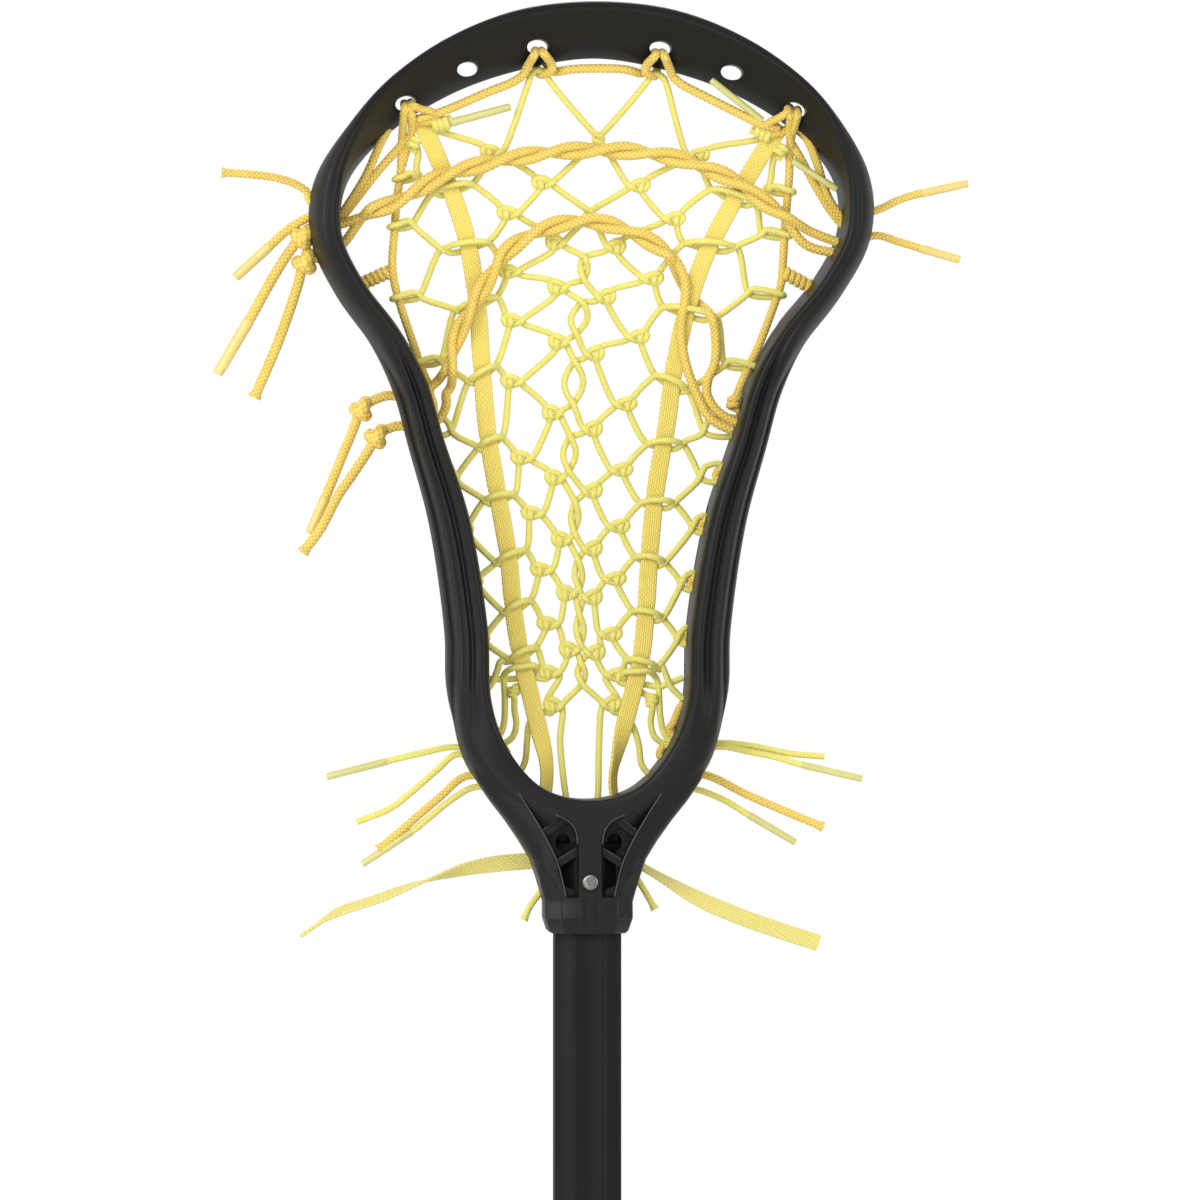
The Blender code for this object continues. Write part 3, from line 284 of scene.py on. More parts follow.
def cord_tree(name, sides, yarns, cell, relief):
    """Sweeps a round section along curves, and lifts it into a braid."""
    tree = bpy.data.node_groups.new(name, "GeometryNodeTree")
    for label, way, kind in (("Geometry", "INPUT", "Geometry"), ("Diameter", "INPUT", "Float"),
                             ("Finish", "INPUT", "Material"), ("Geometry", "OUTPUT", "Geometry")):
        tree.interface.new_socket(label, in_out=way, socket_type="NodeSocket" + kind)
    inputs = tree.nodes.new("NodeGroupInput")
    lines = Wire(inputs.outputs["Geometry"])
    diameter = Wire(inputs.outputs["Diameter"])
    length = node(tree, "GeometryNodeSplineParameter", output="Length")
    lines = node(tree, "GeometryNodeStoreNamedAttribute", {"data_type": "FLOAT", "domain": "POINT"},
                 {"Geometry": lines, "Name": "along", "Value": length})
    circle = node(tree, "GeometryNodeCurvePrimitiveCircle", None,
                  {"Resolution": sides, "Radius": 1.0})
    place = node(tree, "GeometryNodeInputPosition")
    circle = node(tree, "GeometryNodeStoreNamedAttribute",
                  {"data_type": "FLOAT_VECTOR", "domain": "POINT"},
                  {"Geometry": circle, "Name": "around", "Value": place})
    width = node(tree, "GeometryNodeInputRadius")
    tube = node(tree, "GeometryNodeCurveToMesh", None,
                {"Curve": lines, "Profile Curve": circle, "Scale": width * diameter * 0.5,
                 "Fill Caps": True})
    if relief:
        far = node(tree, "GeometryNodeInputNamedAttribute", {"data_type": "FLOAT"},
                   {"Name": "along"})
        around = node(tree, "GeometryNodeInputNamedAttribute", {"data_type": "FLOAT_VECTOR"},
                      {"Name": "around"})
        height, across = braid(far, *split(around), yarns, cell * MM)
        normal = node(tree, "GeometryNodeInputNormal")
        lift = (height - MEAN_HEIGHT) * (relief * MM)
        offset = node(tree, "ShaderNodeVectorMath", {"operation": "SCALE"},
                      {"Vector": normal, "Scale": lift})
        tube = node(tree, "GeometryNodeSetPosition", None, {"Geometry": tube, "Offset": offset})
    tube = node(tree, "GeometryNodeSetShadeSmooth", None, {"Geometry": tube})
    tube = node(tree, "GeometryNodeRealizeInstances", None, {"Geometry": tube})
    tube = node(tree, "GeometryNodeSetMaterial", None,
                {"Geometry": tube, "Material": Wire(inputs.outputs["Finish"])})
    out = tree.nodes.new("NodeGroupOutput")
    tree.links.new(tube.socket, out.inputs[0])
    return tree


gold_tree = cord_tree("gold_cord", GOLD_SIDES, GOLD_YARNS, GOLD_CELL, GOLD_RELIEF)
lemon_tree = cord_tree("lemon_cord", LEMON_SIDES, LEMON_YARNS, LEMON_CELL, 0.0)
print("cord trees:", len(gold_tree.nodes), "and", len(lemon_tree.nodes), "nodes")

# %% [markdown]
# ## Routes
#
# A cord is drawn as a few points, read off the photograph, that it passes through. A
# Bezier curve with automatic handles swings out where points lie unevenly. This spline
# weighs each slope by the gaps beside it, so a close pair of points makes no loop. Even
# spacing afterwards keeps the braid's relief equal everywhere.


# %% A smooth line through chosen points
def ease(value):
    value = min(max(value, 0.0), 1.0)
    return value * value * (3.0 - 2.0 * value)


def fade(value, start, end):
    """0 before the start and 1 after the end, with a smooth way between."""
    return ease((value - start) / (end - start))


def spline_point(points, index, share):
    """A point on the curve through the points, fair where their spacing is uneven."""
    start = points[index]
    end = points[index + 1]
    before = points[index - 1] if index > 0 else start * 2 - end
    after = points[index + 2] if index + 2 < len(points) else end * 2 - start
    gaps = [max((b - a).length, 0.01) ** 0.5
            for a, b in ((before, start), (start, end), (end, after))]
    slope_in = (start - before) / gaps[0] - (end - before) / (gaps[0] + gaps[1])
    slope_in = (slope_in + (end - start) / gaps[1]) * gaps[1]
    slope_out = (end - start) / gaps[1] - (after - start) / (gaps[1] + gaps[2])
    slope_out = (slope_out + (after - end) / gaps[2]) * gaps[1]
    square = share * share
    cube = square * share
    return (start * (2 * cube - 3 * square + 1) + slope_in * (cube - 2 * square + share)
            + end * (3 * square - 2 * cube) + slope_out * (cube - square))


def curve_points(points, first, last, steps):
    """Points on the smooth curve from one of its own points to another."""
    return [spline_point(points, index, step / steps)
            for index in range(first, last) for step in range(steps)] + [points[last]]


def running_lengths(points):
    """The distance along a line at each of its points."""
    lengths = [0.0]
    for one, two in zip(points, points[1:]):
        lengths.append(lengths[-1] + (two - one).length)
    return lengths


def line_length(points):
    return running_lengths(points)[-1]


def spread(points, lengths, count, closed=False):
    """Points at even distances along a line, without the last if the line is closed."""
    spaced = []
    index = 0
    for step in range(count if closed else count + 1):
        wanted = lengths[-1] * step / count
        while index < len(lengths) - 2 and lengths[index + 1] < wanted:
            index += 1
        span = max(lengths[index + 1] - lengths[index], 1e-9)
        spaced.append(points[index].lerp(points[index + 1], (wanted - lengths[index]) / span))
    return spaced


def smooth_route(route, pitch):
    """Evenly spaced points on the smooth curve through a route's own points."""
    points = [Vector(point) for point in route]
    dense = curve_points(points, 0, len(points) - 1, 12)
    lengths = running_lengths(dense)
    return spread(dense, lengths, max(2, round(lengths[-1] / pitch)))


# %% Directions along a line
BACKWARDS = Vector((0, 1, 0))


def directions(points):
    """The way that a line runs at each of its points."""
    last = len(points) - 1
    return [(points[min(number + 1, last)] - points[max(number - 1, 0)]).normalized()
            for number in range(len(points))]


def crossways(along):
    """Two directions square to a line: beside it, and towards the back."""
    across = along.cross(BACKWARDS).normalized()
    return across, across.cross(along)


# %% From route to finished cord
LEMON_CORD = 2.5
GOLD_PITCH = 0.45
LEMON_PITCH = 0.8
FLARE = 0.35
FLARE_LENGTH = 2.5


def plain_mesh(source, name):
    """The mesh that an object's modifiers make of it."""
    graph = bpy.context.evaluated_depsgraph_get()
    mesh = bpy.data.meshes.new_from_object(source.evaluated_get(graph))
    mesh.name = name
    return mesh


def cord(name, routes, diameter=LEMON_CORD, gold=False, flared=False):
    """One object of braided cord along one or more routes, and the routes' points. A
    flared cord opens out at its cut end."""
    curve = bpy.data.curves.new(name + "_line", "CURVE")
    curve.dimensions = "3D"
    lines = [smooth_route(route, GOLD_PITCH if gold else LEMON_PITCH) for route in routes]
    for points in lines:
        spline = curve.splines.new("POLY")
        spline.points.add(len(points) - 1)
        for slot, point in zip(spline.points, points):
            to_end = (points[-1] - point).length
            slot.co = (*(point * MM), 1.0)
            slot.radius = 1.0 + FLARE * ease(1.0 - to_end / FLARE_LENGTH) if flared else 1.0
    guide = add_object(name + "_line", curve)
    step = guide.modifiers.new("cord", "NODES")
    step.node_group = gold_tree if gold else lemon_tree
    inputs = {"Diameter": diameter * MM,
              "Finish": materials["gold_string" if gold else "lemon_string"]}
    for item in step.node_group.interface.items_tree:
        if item.in_out == "INPUT" and item.name in inputs:
            step[item.identifier] = inputs[item.name]
    mesh = plain_mesh(guide, name)
    bpy.data.objects.remove(guide, do_unlink=True)
    return add_object(name, mesh), lines


def settle(piece, slot, *nodes, body="stick"):
    """Seats a finished piece on its body and hides the solids it stands for. The slot is not used.
    """
    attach(piece, body)
    if nodes:
        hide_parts(*nodes)
    print("%-24s %6d faces" % (piece.name, len(piece.data.polygons)))


# %% [markdown]
# ## Finishes
#
# Each finish is one material. The plastic is satin with a fine moulded grain. A paler,
# glossier copy of it on the thin ribs round the pockets is painted highlight, standing in
# for the light that those edges catch. The shaft has faint drawn lines, and the cords
# take their look from the braid's own formula, so their colour, grooves and relief agree.
# Yarn grooves are painted darker and warmer, as painted shade: light that enters the
# nylon there has bounced more often. Only colour, roughness and relief vary over a
# surface.


# %% Helpers for materials
materials = {}


def start_material(name, colour, rough):
    made = bpy.data.materials.new(name)
    made.use_nodes = True
    materials[name] = made
    shader = made.node_tree.nodes["Principled BSDF"]
    shader.inputs["Base Color"].default_value = (*colour, 1)
    shader.inputs["Roughness"].default_value = rough
    return made.node_tree, shader


def noise(tree, scale, detail, stretch=(1, 1, 1)):
    """Noise on Object coordinates, with so many spots to a metre."""
    place = node(tree, "ShaderNodeTexCoord", output="Object")
    place = node(tree, "ShaderNodeMapping", None, {"Vector": place, "Scale": stretch})
    return node(tree, "ShaderNodeTexNoise", None,
                {"Vector": place, "Scale": scale, "Detail": detail}, "Fac")


def mix_colour(share, one, two):
    """A colour between two, where the share is a wire."""
    return node(share.tree, "ShaderNodeMix", {"data_type": "RGBA"},
                {0: share, 6: (*one, 1), 7: (*two, 1)}, 2)


def dress(shader, colour, rough, height, depth):
    """Feeds a shader what varies over the surface: colour, roughness and relief."""
    tree = shader.id_data
    relief = node(tree, "ShaderNodeBump", None,
                  {"Height": height, "Distance": depth * MM, "Strength": 1.0})
    for key, wire in (("Base Color", colour), ("Roughness", rough), ("Normal", relief)):
        tree.links.new(wire.socket, shader.inputs[key])


# %% Plastic, metal and rubber
PATCH_SPOTS = 35.0


def hard_finish(name, colour, rough, grain_spots, grain_depth, stretch=(1, 1, 1), specular=0.5):
    """A satin surface with a fine grain and faint broad patches."""
    tree, shader = start_material(name, colour, rough)
    shader.inputs["Specular IOR Level"].default_value = specular
    grain = noise(tree, grain_spots, 2.0, stretch)
    patches = noise(tree, PATCH_SPOTS, 3.0)
    lighter = tuple(part * 1.35 + 0.002 for part in colour)
    dress(shader, mix_colour(patches, colour, lighter),
          patches * 0.12 + grain * 0.06 + (rough - 0.09), grain, grain_depth)
    return shader


hard_finish("head_plastic", (0.0052, 0.0058, 0.0057), 0.40, 1500.0, 0.012, specular=0.175)
# Painted highlight: a paler, glossier plastic for the pocket ribs, in place of the light lines that
# their edges catch.
hard_finish("painted_highlight_plastic", (0.030, 0.031, 0.031), 0.42, 1500.0, 0.012, specular=0.35)
hard_finish("shaft_metal", (0.0090, 0.0088, 0.0083), 0.36, 900.0, 0.008, (6, 6, 0.05), 0.06)
hard_finish("cap_rubber", (0.0085, 0.0085, 0.0085), 0.78, 1200.0, 0.03, specular=0.25)
steel = hard_finish("screw_steel", (0.17, 0.165, 0.16), 0.34, 2500.0, 0.006, (1, 8, 1))
steel.inputs["Metallic"].default_value = 1.0
for name, colour in (("aglet_plastic", (0.46, 0.43, 0.145)),
                     ("gold_aglet", (0.58, 0.44, 0.135))):
    glossy = hard_finish(name, colour, 0.38, 300.0, 0.0)
    glossy.inputs["Coat Weight"].default_value = 0.25
    glossy.inputs["Coat Roughness"].default_value = 0.12
print("hard finishes:", ", ".join(materials))


# %% Braided string
FIBRES = 5.0


def string_finish(name, light, groove_shade, yarns, cell, depth, contrast):
    """Yarns split into fibres, the light colour on top and a painted shade between them, with faint
    patches.
    """
    tree, shader = start_material(name, light, 0.6)
    along = node(tree, "ShaderNodeAttribute", {"attribute_name": "along"}, output="Fac")
    around = node(tree, "ShaderNodeAttribute", {"attribute_name": "around"}, output="Vector")
    height, across = braid(along, *split(around), yarns, cell * MM)
    fibres = hump(across * FIBRES)
    patches = noise(tree, 160.0, 2.0)
    shade = height * contrast + (1.0 - contrast) + fibres * 0.08 - 0.08
    shade = shade * (patches * 0.5 + 0.75)
    # Painted shade: the grooves between yarns take the darker, warmer colour.
    dress(shader, mix_colour(shade.math("MINIMUM", 1.0), groove_shade, light),
          0.72 - height * 0.16, height + fibres * 0.12, depth)
    shader.inputs["Sheen Weight"].default_value = 0.25
    shader.inputs["Sheen Roughness"].default_value = 0.4


string_finish("gold_string", (0.80, 0.605, 0.125), (0.56, 0.32, 0.03),
              GOLD_YARNS, GOLD_CELL, 0.18, 0.75)
string_finish("lemon_string", (0.745, 0.685, 0.165), (0.61, 0.53, 0.09),
              LEMON_YARNS, LEMON_CELL, 0.12, 0.60)


# %% Flat woven lace
LACE_RIBS = 8
LACE_STITCH = 1.9


def lace_finish(name, groove_shade, light):
    """Rows of stitches between lengthwise ribs, each row half a stitch further. The UV
    map gives millimetres along, and the place across from -1 to 1."""
    tree, shader = start_material(name, light, 0.65)
    along, across = split(node(tree, "ShaderNodeUVMap", {"uv_map": "lace"}))
    rib = across * (LACE_RIBS / 2)
    odd = (rib.floor() * 0.5).fract()
    stitch = hump(along * (1.0 / LACE_STITCH) + odd)
    height = hump(rib) * 0.45 + stitch * 0.55
    patches = noise(tree, 120.0, 2.0)
    shade = height * 0.95 + patches * 0.4 - 0.05
    # Painted shade: the hollows between ribs and stitches take the darker colour, with random
    # patches on top.
    dress(shader, mix_colour(shade.math("MINIMUM", 1.0), groove_shade, light),
          0.74 - height * 0.14, height, 0.20)
    shader.inputs["Sheen Weight"].default_value = 0.2


lace_finish("flat_lace", (0.53, 0.38, 0.045), (0.76, 0.615, 0.125))
lace_finish("pale_lace", (0.50, 0.43, 0.085), (0.68, 0.60, 0.175))
print("string finishes:", ", ".join(list(materials)[-4:]))

# %% [markdown]
# ## The space the strings lie in
#
# The strings lie on one sheet behind the head's front rim, deeper in the pocket than at
# the scoop. One function gives that depth at any place, so that every cord lies on it,
# and each layer in front of the sheet adds its own distance.


# %% The strings' sheet
SCOOP_LEAN = 2.3


def lean(height):
    """How far the head leans sideways at a height."""
    return SCOOP_LEAN * fade(height, 215.0, 305.0)


def net_depth(x, z):
    """How far back the strings lie at a place in the head."""
    depth = 9.0 - 14.0 * fade(z, 190.0, 325.0)
    across = max(0.0, 1.0 - (x / 46.0) ** 2)
    along = max(0.0, 1.0 - ((z - 150.0) / 100.0) ** 2)
    return depth + 6.0 * across * along


def on_net(x, z, forward=0.0):
    """A point of the sheet, or so far in front of it."""
    return Vector((x, net_depth(x, z) - forward, z))


def strung(route, forward):
    return [on_net(x, z, forward) for x, z in route]


print("sheet: %.1f mm deep in the pocket, %.1f mm at the scoop" % (net_depth(0, 150),
                                                                 net_depth(0, 325)))


# %% [markdown]
# ## The head's wall
#
# The head is one moulding. Its wall runs all the way round the opening, and its section
# changes on the way: a smooth low lip at the ball stop, a ribbed rail up the sides, a
# rounded bend where the head widens, and a broad leaning scoop. Four drawn sections
# with equally many points are blended by height, and the blend is swept round the
# opening's outline.

# %% Outline of the opening: half width, height, wall width
OPENING = (
    (0.0, 50.7, 13.0), (17.5, 55.0, 13.5), (30.5, 69.5, 16.5), (36.9, 88.0, 16.3),
    (38.3, 115.0, 16.0), (45.3, 157.0, 15.0), (55.0, 187.0, 13.3), (61.5, 209.0, 13.0),
    (71.5, 229.0, 12.6), (86.0, 248.0, 12.0), (94.3, 266.0, 12.4), (92.6, 284.0, 13.0),
    (78.0, 302.0, 15.0), (53.0, 317.8, 19.0), (26.0, 327.0, 21.5), (0.0, 331.0, 20.5),
)


def half_opening():
    """Half of the outline as smooth points, from the ball stop to the scoop."""
    low = (-OPENING[1][0], *OPENING[1][1:])
    high = (-OPENING[-2][0], *OPENING[-2][1:])
    points = [Vector(point) for point in (low, *OPENING, high)]
    return curve_points(points, 1, len(points) - 2, 20)


HALF = half_opening()
print("opening: %.0f mm high, %.0f mm wide" % (HALF[-1].y - HALF[0].y,
                                               2 * max(point.x for point in HALF)))


def rail_place(side, height):
    """Inner edge, outward direction and wall width of a sidewall at a height."""
    index = next(number for number in range(1, len(HALF) - 1) if HALF[number + 1].y >= height)
    low, high = HALF[index], HALF[index + 1]
    here = low.lerp(high, (height - low.y) / (high.y - low.y))
    along = Vector((high.x - low.x, high.y - low.y)).normalized()
    return (Vector((side * here.x + lean(height), height)),
            Vector((side * along.y, -along.x)), here.z)


# %% Sections: share of the wall's width, depth
STOP_SECTION = (
    (0.02, 15.0), (0.015, 11.0), (0.01, 6.5), (0.005, 2.0), (0.002, -3.0), (0.0, -8.0),
    (0.005, -13.0), (0.02, -15.6), (0.06, -16.7), (0.17, -17.1), (0.3, -17.2), (0.48, -17.2),
    (0.58, -17.1), (0.65, -16.8), (0.7, -16.4), (0.75, -15.8), (0.8, -15.0), (0.84, -14.0),
    (0.88, -12.6), (0.92, -10.8), (0.95, -8.6), (0.98, -5.6), (1.0, -2.5), (1.0, 0.4), (0.97, 2.0),
    (0.84, 3.2), (0.66, 4.4), (0.5, 5.6), (0.43, 8.0), (0.39, 12.5), (0.36, 15.5), (0.3, 16.8),
    (0.22, 17.1), (0.13, 17.0), (0.05, 16.7), (0.015, 16.0),
)
RAIL_SECTION = (
    (0.035, 15.0), (0.028, 10.0), (0.018, 3.0), (0.008, -4.0), (0.0, -10.0), (0.01, -14.4),
    (0.04, -17.2), (0.1, -18.9), (0.17, -19.7), (0.24, -19.8), (0.3, -19.2), (0.345, -18.3),
    (0.385, -17.5), (0.43, -17.3), (0.475, -17.9), (0.52, -18.4), (0.565, -18.2), (0.6, -17.9),
    (0.645, -18.0), (0.7, -17.1), (0.745, -15.7), (0.785, -13.7), (0.82, -11.6), (0.86, -10.5),
    (0.92, -10.0), (1.0, -3.6), (0.985, 0.8), (0.9, 2.9), (0.66, 4.6), (0.47, 6.2), (0.41, 9.5),
    (0.375, 14.0), (0.32, 16.6), (0.22, 17.1), (0.1, 17.0), (0.02, 16.3),
)
SCOOP_SECTION = (
    (0.0, -2.6), (0.03, -4.4), (0.09, -6.6), (0.18, -9.4), (0.29, -12.4), (0.42, -15.9),
    (0.56, -19.5), (0.69, -22.8), (0.79, -25.2), (0.825, -26.1), (0.845, -26.4), (0.865, -26.5),
    (0.885, -26.6), (0.905, -26.9), (0.93, -27.5), (0.955, -27.9), (0.98, -27.5), (0.995, -26.6),
    (1.0, -25.6), (0.995, -24.6), (0.97, -23.6), (0.93, -22.2), (0.88, -20.6), (0.81, -18.4),
    (0.74, -16.2), (0.67, -14.0), (0.6, -11.8), (0.53, -9.7), (0.46, -7.6), (0.4, -5.7),
    (0.36, -4.2), (0.32, -2.6), (0.27, -1.3), (0.19, -0.6), (0.1, -0.7), (0.03, -1.4),
)
BEND_SECTION = (
    (0.0, 8.0), (0.01, 4.0), (0.03, -1.0), (0.05, -5.5), (0.07, -9.5), (0.09, -13.0), (0.11, -16.0),
    (0.13, -18.4), (0.16, -19.9), (0.2, -20.6), (0.26, -20.9), (0.32, -20.9), (0.36, -20.8),
    (0.39, -20.5), (0.42, -20.4), (0.46, -20.5), (0.52, -20.2), (0.6, -19.3), (0.68, -17.9),
    (0.76, -16.0), (0.83, -13.7), (0.89, -11.1), (0.94, -8.3), (0.975, -5.4), (0.995, -2.6),
    (0.99, -0.2), (0.95, 1.8), (0.84, 3.2), (0.66, 4.2), (0.5, 5.0), (0.42, 6.2), (0.36, 7.6),
    (0.3, 8.6), (0.22, 9.2), (0.12, 9.3), (0.03, 8.9),
)
# Each blend goes from a height to another, and ends in its section
BLENDS = ((66.0, 100.0, RAIL_SECTION), (205.0, 240.0, BEND_SECTION),
          (275.0, 310.0, SCOOP_SECTION))


def section_at(height):
    """The wall's section at a height, twice as fine as it was drawn."""
    drawn = [Vector(point) for point in STOP_SECTION]
    for low, high, section in BLENDS:
        share = fade(height, low, high)
        drawn = [one.lerp(Vector(two), share) for one, two in zip(drawn, section)]
    count = len(drawn)
    fine = []
    for number, point in enumerate(drawn):
        around = [drawn[(number + offset) % count] for offset in (-1, 0, 1, 2)]
        middle = (around[1] + around[2]) * 0.5625 - (around[0] + around[3]) * 0.0625
        fine += [point, middle]
    return fine


print("sections:", 1 + len(BLENDS), "of", len(STOP_SECTION), "drawn points")

# %% Stations round the opening
STATIONS = 300


def ring_stations():
    """Evenly spaced places round the opening, with the way outwards at each."""
    loop = HALF + [Vector((-point.x, point.y, point.z)) for point in reversed(HALF[1:-1])]
    loop.append(loop[0])
    lengths = running_lengths([point.xy for point in loop])
    places = spread(loop, lengths, STATIONS, closed=True)
    result = []
    for number, here in enumerate(places):
        along = (places[(number + 1) % STATIONS] - places[number - 1]).xy.normalized()
        result.append((here, Vector((along.y, -along.x))))
    return result


def wall_point(station, share, depth):
    """A place in the wall at a station, from its share of the width and its depth."""
    here, outward = station
    spot = here.xy + outward * share * here.z
    return (spot.x + lean(spot.y), depth, spot.y)


# %% Lofts
def loft(rings, closed_loop=False):
    """Points and faces of a tube through rings of equal count, capped unless it closes."""
    count = len(rings[0])
    points = [tuple(point) for ring in rings for point in ring]
    faces = []
    for row in range(len(rings) if closed_loop else len(rings) - 1):
        first = row * count
        second = ((row + 1) % len(rings)) * count
        for column in range(count):
            following = (column + 1) % count
            faces.append((first + column, first + following, second + following, second + column))
    if not closed_loop:
        faces.append(tuple(range(count)))
        faces.append(tuple((len(rings) - 1) * count + column for column in range(count)))
    return points, faces


def oval(centre, across, over, sides, turned=0.0):
    """A ring of points round a centre, from its two half-axes."""
    ring = []
    for number in range(sides):
        angle = math.tau * (number + turned) / sides
        ring.append(centre + across * math.cos(angle) + over * math.sin(angle))
    return ring


def soften(mesh, sharp):
    """Smooth shading, except at edges that turn by more than an angle."""
    mesh.shade_smooth()
    mesh.set_sharp_from_angle(angle=math.radians(sharp))


def mesh_object(name, shapes, finish=None, sharp=35.0):
    """One object from lofted shapes in millimetres, with its faces pointing out."""
    work = bmesh.new()
    for points, faces in shapes:
        corners = [work.verts.new(Vector(point) * MM) for point in points]
        for face in faces:
            work.faces.new([corners[index] for index in face])
    bmesh.ops.recalc_face_normals(work, faces=work.faces)
    mesh = bpy.data.meshes.new(name)
    work.to_mesh(mesh)
    work.free()
    if finish:
        mesh.materials.append(materials[finish])
    soften(mesh, sharp)
    return add_object(name, mesh)


RING = ring_stations()
wall_rings = [[wall_point(station, *spot) for spot in section_at(station[0].y)]
              for station in RING]
head = mesh_object("head", [loft(wall_rings, closed_loop=True)], "head_plastic")
print("wall:", len(head.data.polygons), "faces")

# %% [markdown]
# ## The throat and collar
#
# Below the ball stop two arms run together into the collar. The block is lofted from
# level slices, each a rounded box, because width, depth and roundness all change with
# height. Booleans then cut the pockets with their struts, the shaft's socket and the
# holes, and join the wall. The Manifold solver does that in a moment on closed meshes.
# Thin ribs run round the pockets. They are a piece of their own, in a paler plastic that
# paints a highlight along them.

# %% Slices of the throat: half width, height
THROAT = (
    (16.0, 0.0), (16.6, 5.0), (16.6, 12.0), (19.0, 20.5), (21.8, 28.0), (26.4, 35.3), (31.5, 42.6),
    (37.5, 50.2), (42.6, 57.8), (45.2, 65.4), (44.0, 70.0),
)
COLLAR_HALF = 17.0
THROAT_BACK = 4.7
THROAT_FRONT = -17.2
LIP_TOP = 5.4
LIP_STEP = 0.4
CORNER_CUT = 0.38
PANEL_LEAN = 1.0
SLICE_POINTS = 96


def throat_width(height):
    for (x_low, low), (x_high, high) in zip(THROAT, THROAT[1:]):
        if height <= high:
            return x_low + (x_high - x_low) * (height - low) / (high - low)
    return THROAT[-1][0]


def squarish(value, power):
    return math.copysign(abs(value) ** power, value)


def throat_slice(height):
    """A level slice: squarish at the collar, rounder and flatter towards the arms."""
    back = COLLAR_HALF + (THROAT_BACK - COLLAR_HALF) * fade(height, 22.0, 56.0)
    front = THROAT_FRONT + 4.0 * fade(height, 58.0, 80.0)
    wide = throat_width(height) - 0.9 * fade(height, 1.0, 0.0)
    if height < LIP_TOP:
        below = (LIP_TOP - height) / LIP_TOP
        front += LIP_STEP - PANEL_LEAN + 1.9 * below
        back -= LIP_STEP
        wide -= 0.25 + 0.9 * ease(below)
    else:
        front -= PANEL_LEAN * fade(height, 13.5, 5.5)
    collar = fade(height, 34.0, 13.0)
    power = 2.0 / (4.4 + 6.0 * collar)
    limit = 2.0 - CORNER_CUT * collar
    middle = (front + back) / 2
    deep = (back - front) / 2
    ring = []
    for number in range(SLICE_POINTS):
        angle = math.tau * number / SLICE_POINTS
        x = squarish(math.cos(angle), power) * wide
        y = squarish(math.sin(angle), power) * deep
        inside = min(1.0, limit / (abs(x) / wide + abs(y) / deep))
        ring.append((x * inside, y * inside + middle, height))
    return ring


def throat_block():
    heights = [0.0, 0.4, 1.0, LIP_TOP - 0.4, LIP_TOP - 0.05, LIP_TOP + 0.35, 7.0]
    heights += [8.0 + step for step in range(63)]
    return loft([throat_slice(height) for height in heights])


def opening_plug():
    """A plug of the opening's shape, a hair wider, that rounds the throat's upper edge."""
    profile = [(0.04, 30.0)] + [(share + 0.02, depth) for share, depth in STOP_SECTION[:9]]
    profile += [(0.30, -17.3), (0.34, -30.0)]
    return loft([[wall_point(station, *spot) for station in RING] for spot in profile])


# %% Pockets and struts: sideways, height
WINDOW = (
    (4.7, 14.0), (9.2, 14.0), (10.4, 19.5), (12.2, 26.3), (15.0, 32.8), (18.2, 38.8), (22.6, 46.2),
    (27.0, 53.0), (19.5, 48.5), (13.0, 45.0), (9.4, 43.3), (6.9, 41.2), (5.3, 38.2), (4.7, 34.0),
)
UPPER_STRUT = ((16.9, 38.2), (11.2, 42.4))
LOWER_STRUT = ((11.2, 27.0), (4.6, 31.0))
SLOPE_LINE = ((12.0, 43.5), (27.0, 53.0))
GUSSET_LINE = ((0.0, 14.2), (11.0, 18.2))
STRUT = 2.6
# Each cavity has its place, width and height
CAVITIES = ((9.8, 34.3, 5.6, 7.0), (7.6, 22.2, 3.4, 7.6))

# %% Depths on the throat
BEFORE_HEAD = -30.0
FACE = -17.15
RIM = ((0.55, BEFORE_HEAD), (0.55, FACE), (-0.05, -16.4))
SLOPE_TOP = -17.3
SLOPE = 0.62
STRUT_TOP = -13.8
GUSSET_FLOOR = -12.5
POCKET_FLOOR = -8.0
CAVITY_TOP = -14.0
CAVITY_FLOOR = 5.0
BEAD = 0.6


# %% Parts of the pockets' outline
def above_line(point, line):
    """A point's distance above a straight line."""
    left, right = [Vector(end) for end in sorted(line)]
    along = (right - left).normalized()
    offset = Vector(point) - left
    return along.x * offset.y - along.y * offset.x


def clip(outline, line, limit, sign):
    """Keeps the part of an outline above (sign 1) or below (sign -1) a line."""
    kept = []
    for number, here in enumerate(outline):
        after = outline[(number + 1) % len(outline)]
        one = sign * above_line(here, line) - limit
        two = sign * above_line(after, line) - limit
        if one >= 0:
            kept.append(here)
        if one * two < 0:
            share = one / (one - two)
            kept.append((here[0] + (after[0] - here[0]) * share,
                         here[1] + (after[1] - here[1]) * share))
    return kept


def inset(outline, distance):
    """The outline moved inwards by a distance, or outwards by a negative one."""
    moved = []
    for number, here in enumerate(outline):
        before = Vector(outline[number - 1])
        after = Vector(outline[(number + 1) % len(outline)])
        one = (Vector(here) - before).normalized()
        two = (after - Vector(here)).normalized()
        inward = Vector((-one.y - two.y, one.x + two.x)).normalized()
        moved.append(tuple(Vector(here) + inward * distance))
    return moved


# %% Cutters for the pockets
def sunk_prism(outline, side, floor, taper=0.0, slope=0.0):
    """A cutter from before the head to a floor, which may sink away below a line."""
    return loft([[(side * x, BEFORE_HEAD, z) for x, z in outline],
                 [(side * x, floor - slope * above_line((x, z), SLOPE_LINE), z)
                  for x, z in inset(outline, taper)]])


def tube_between(start, end, wide, high, sides, up=Vector((0, 0, 1))):
    along = (end - start).normalized()
    across = along.cross(up).normalized()
    over = across.cross(along)
    return loft([oval(centre, across * wide / 2, over * high / 2, sides, 0.5)
                 for centre in (start, end)])


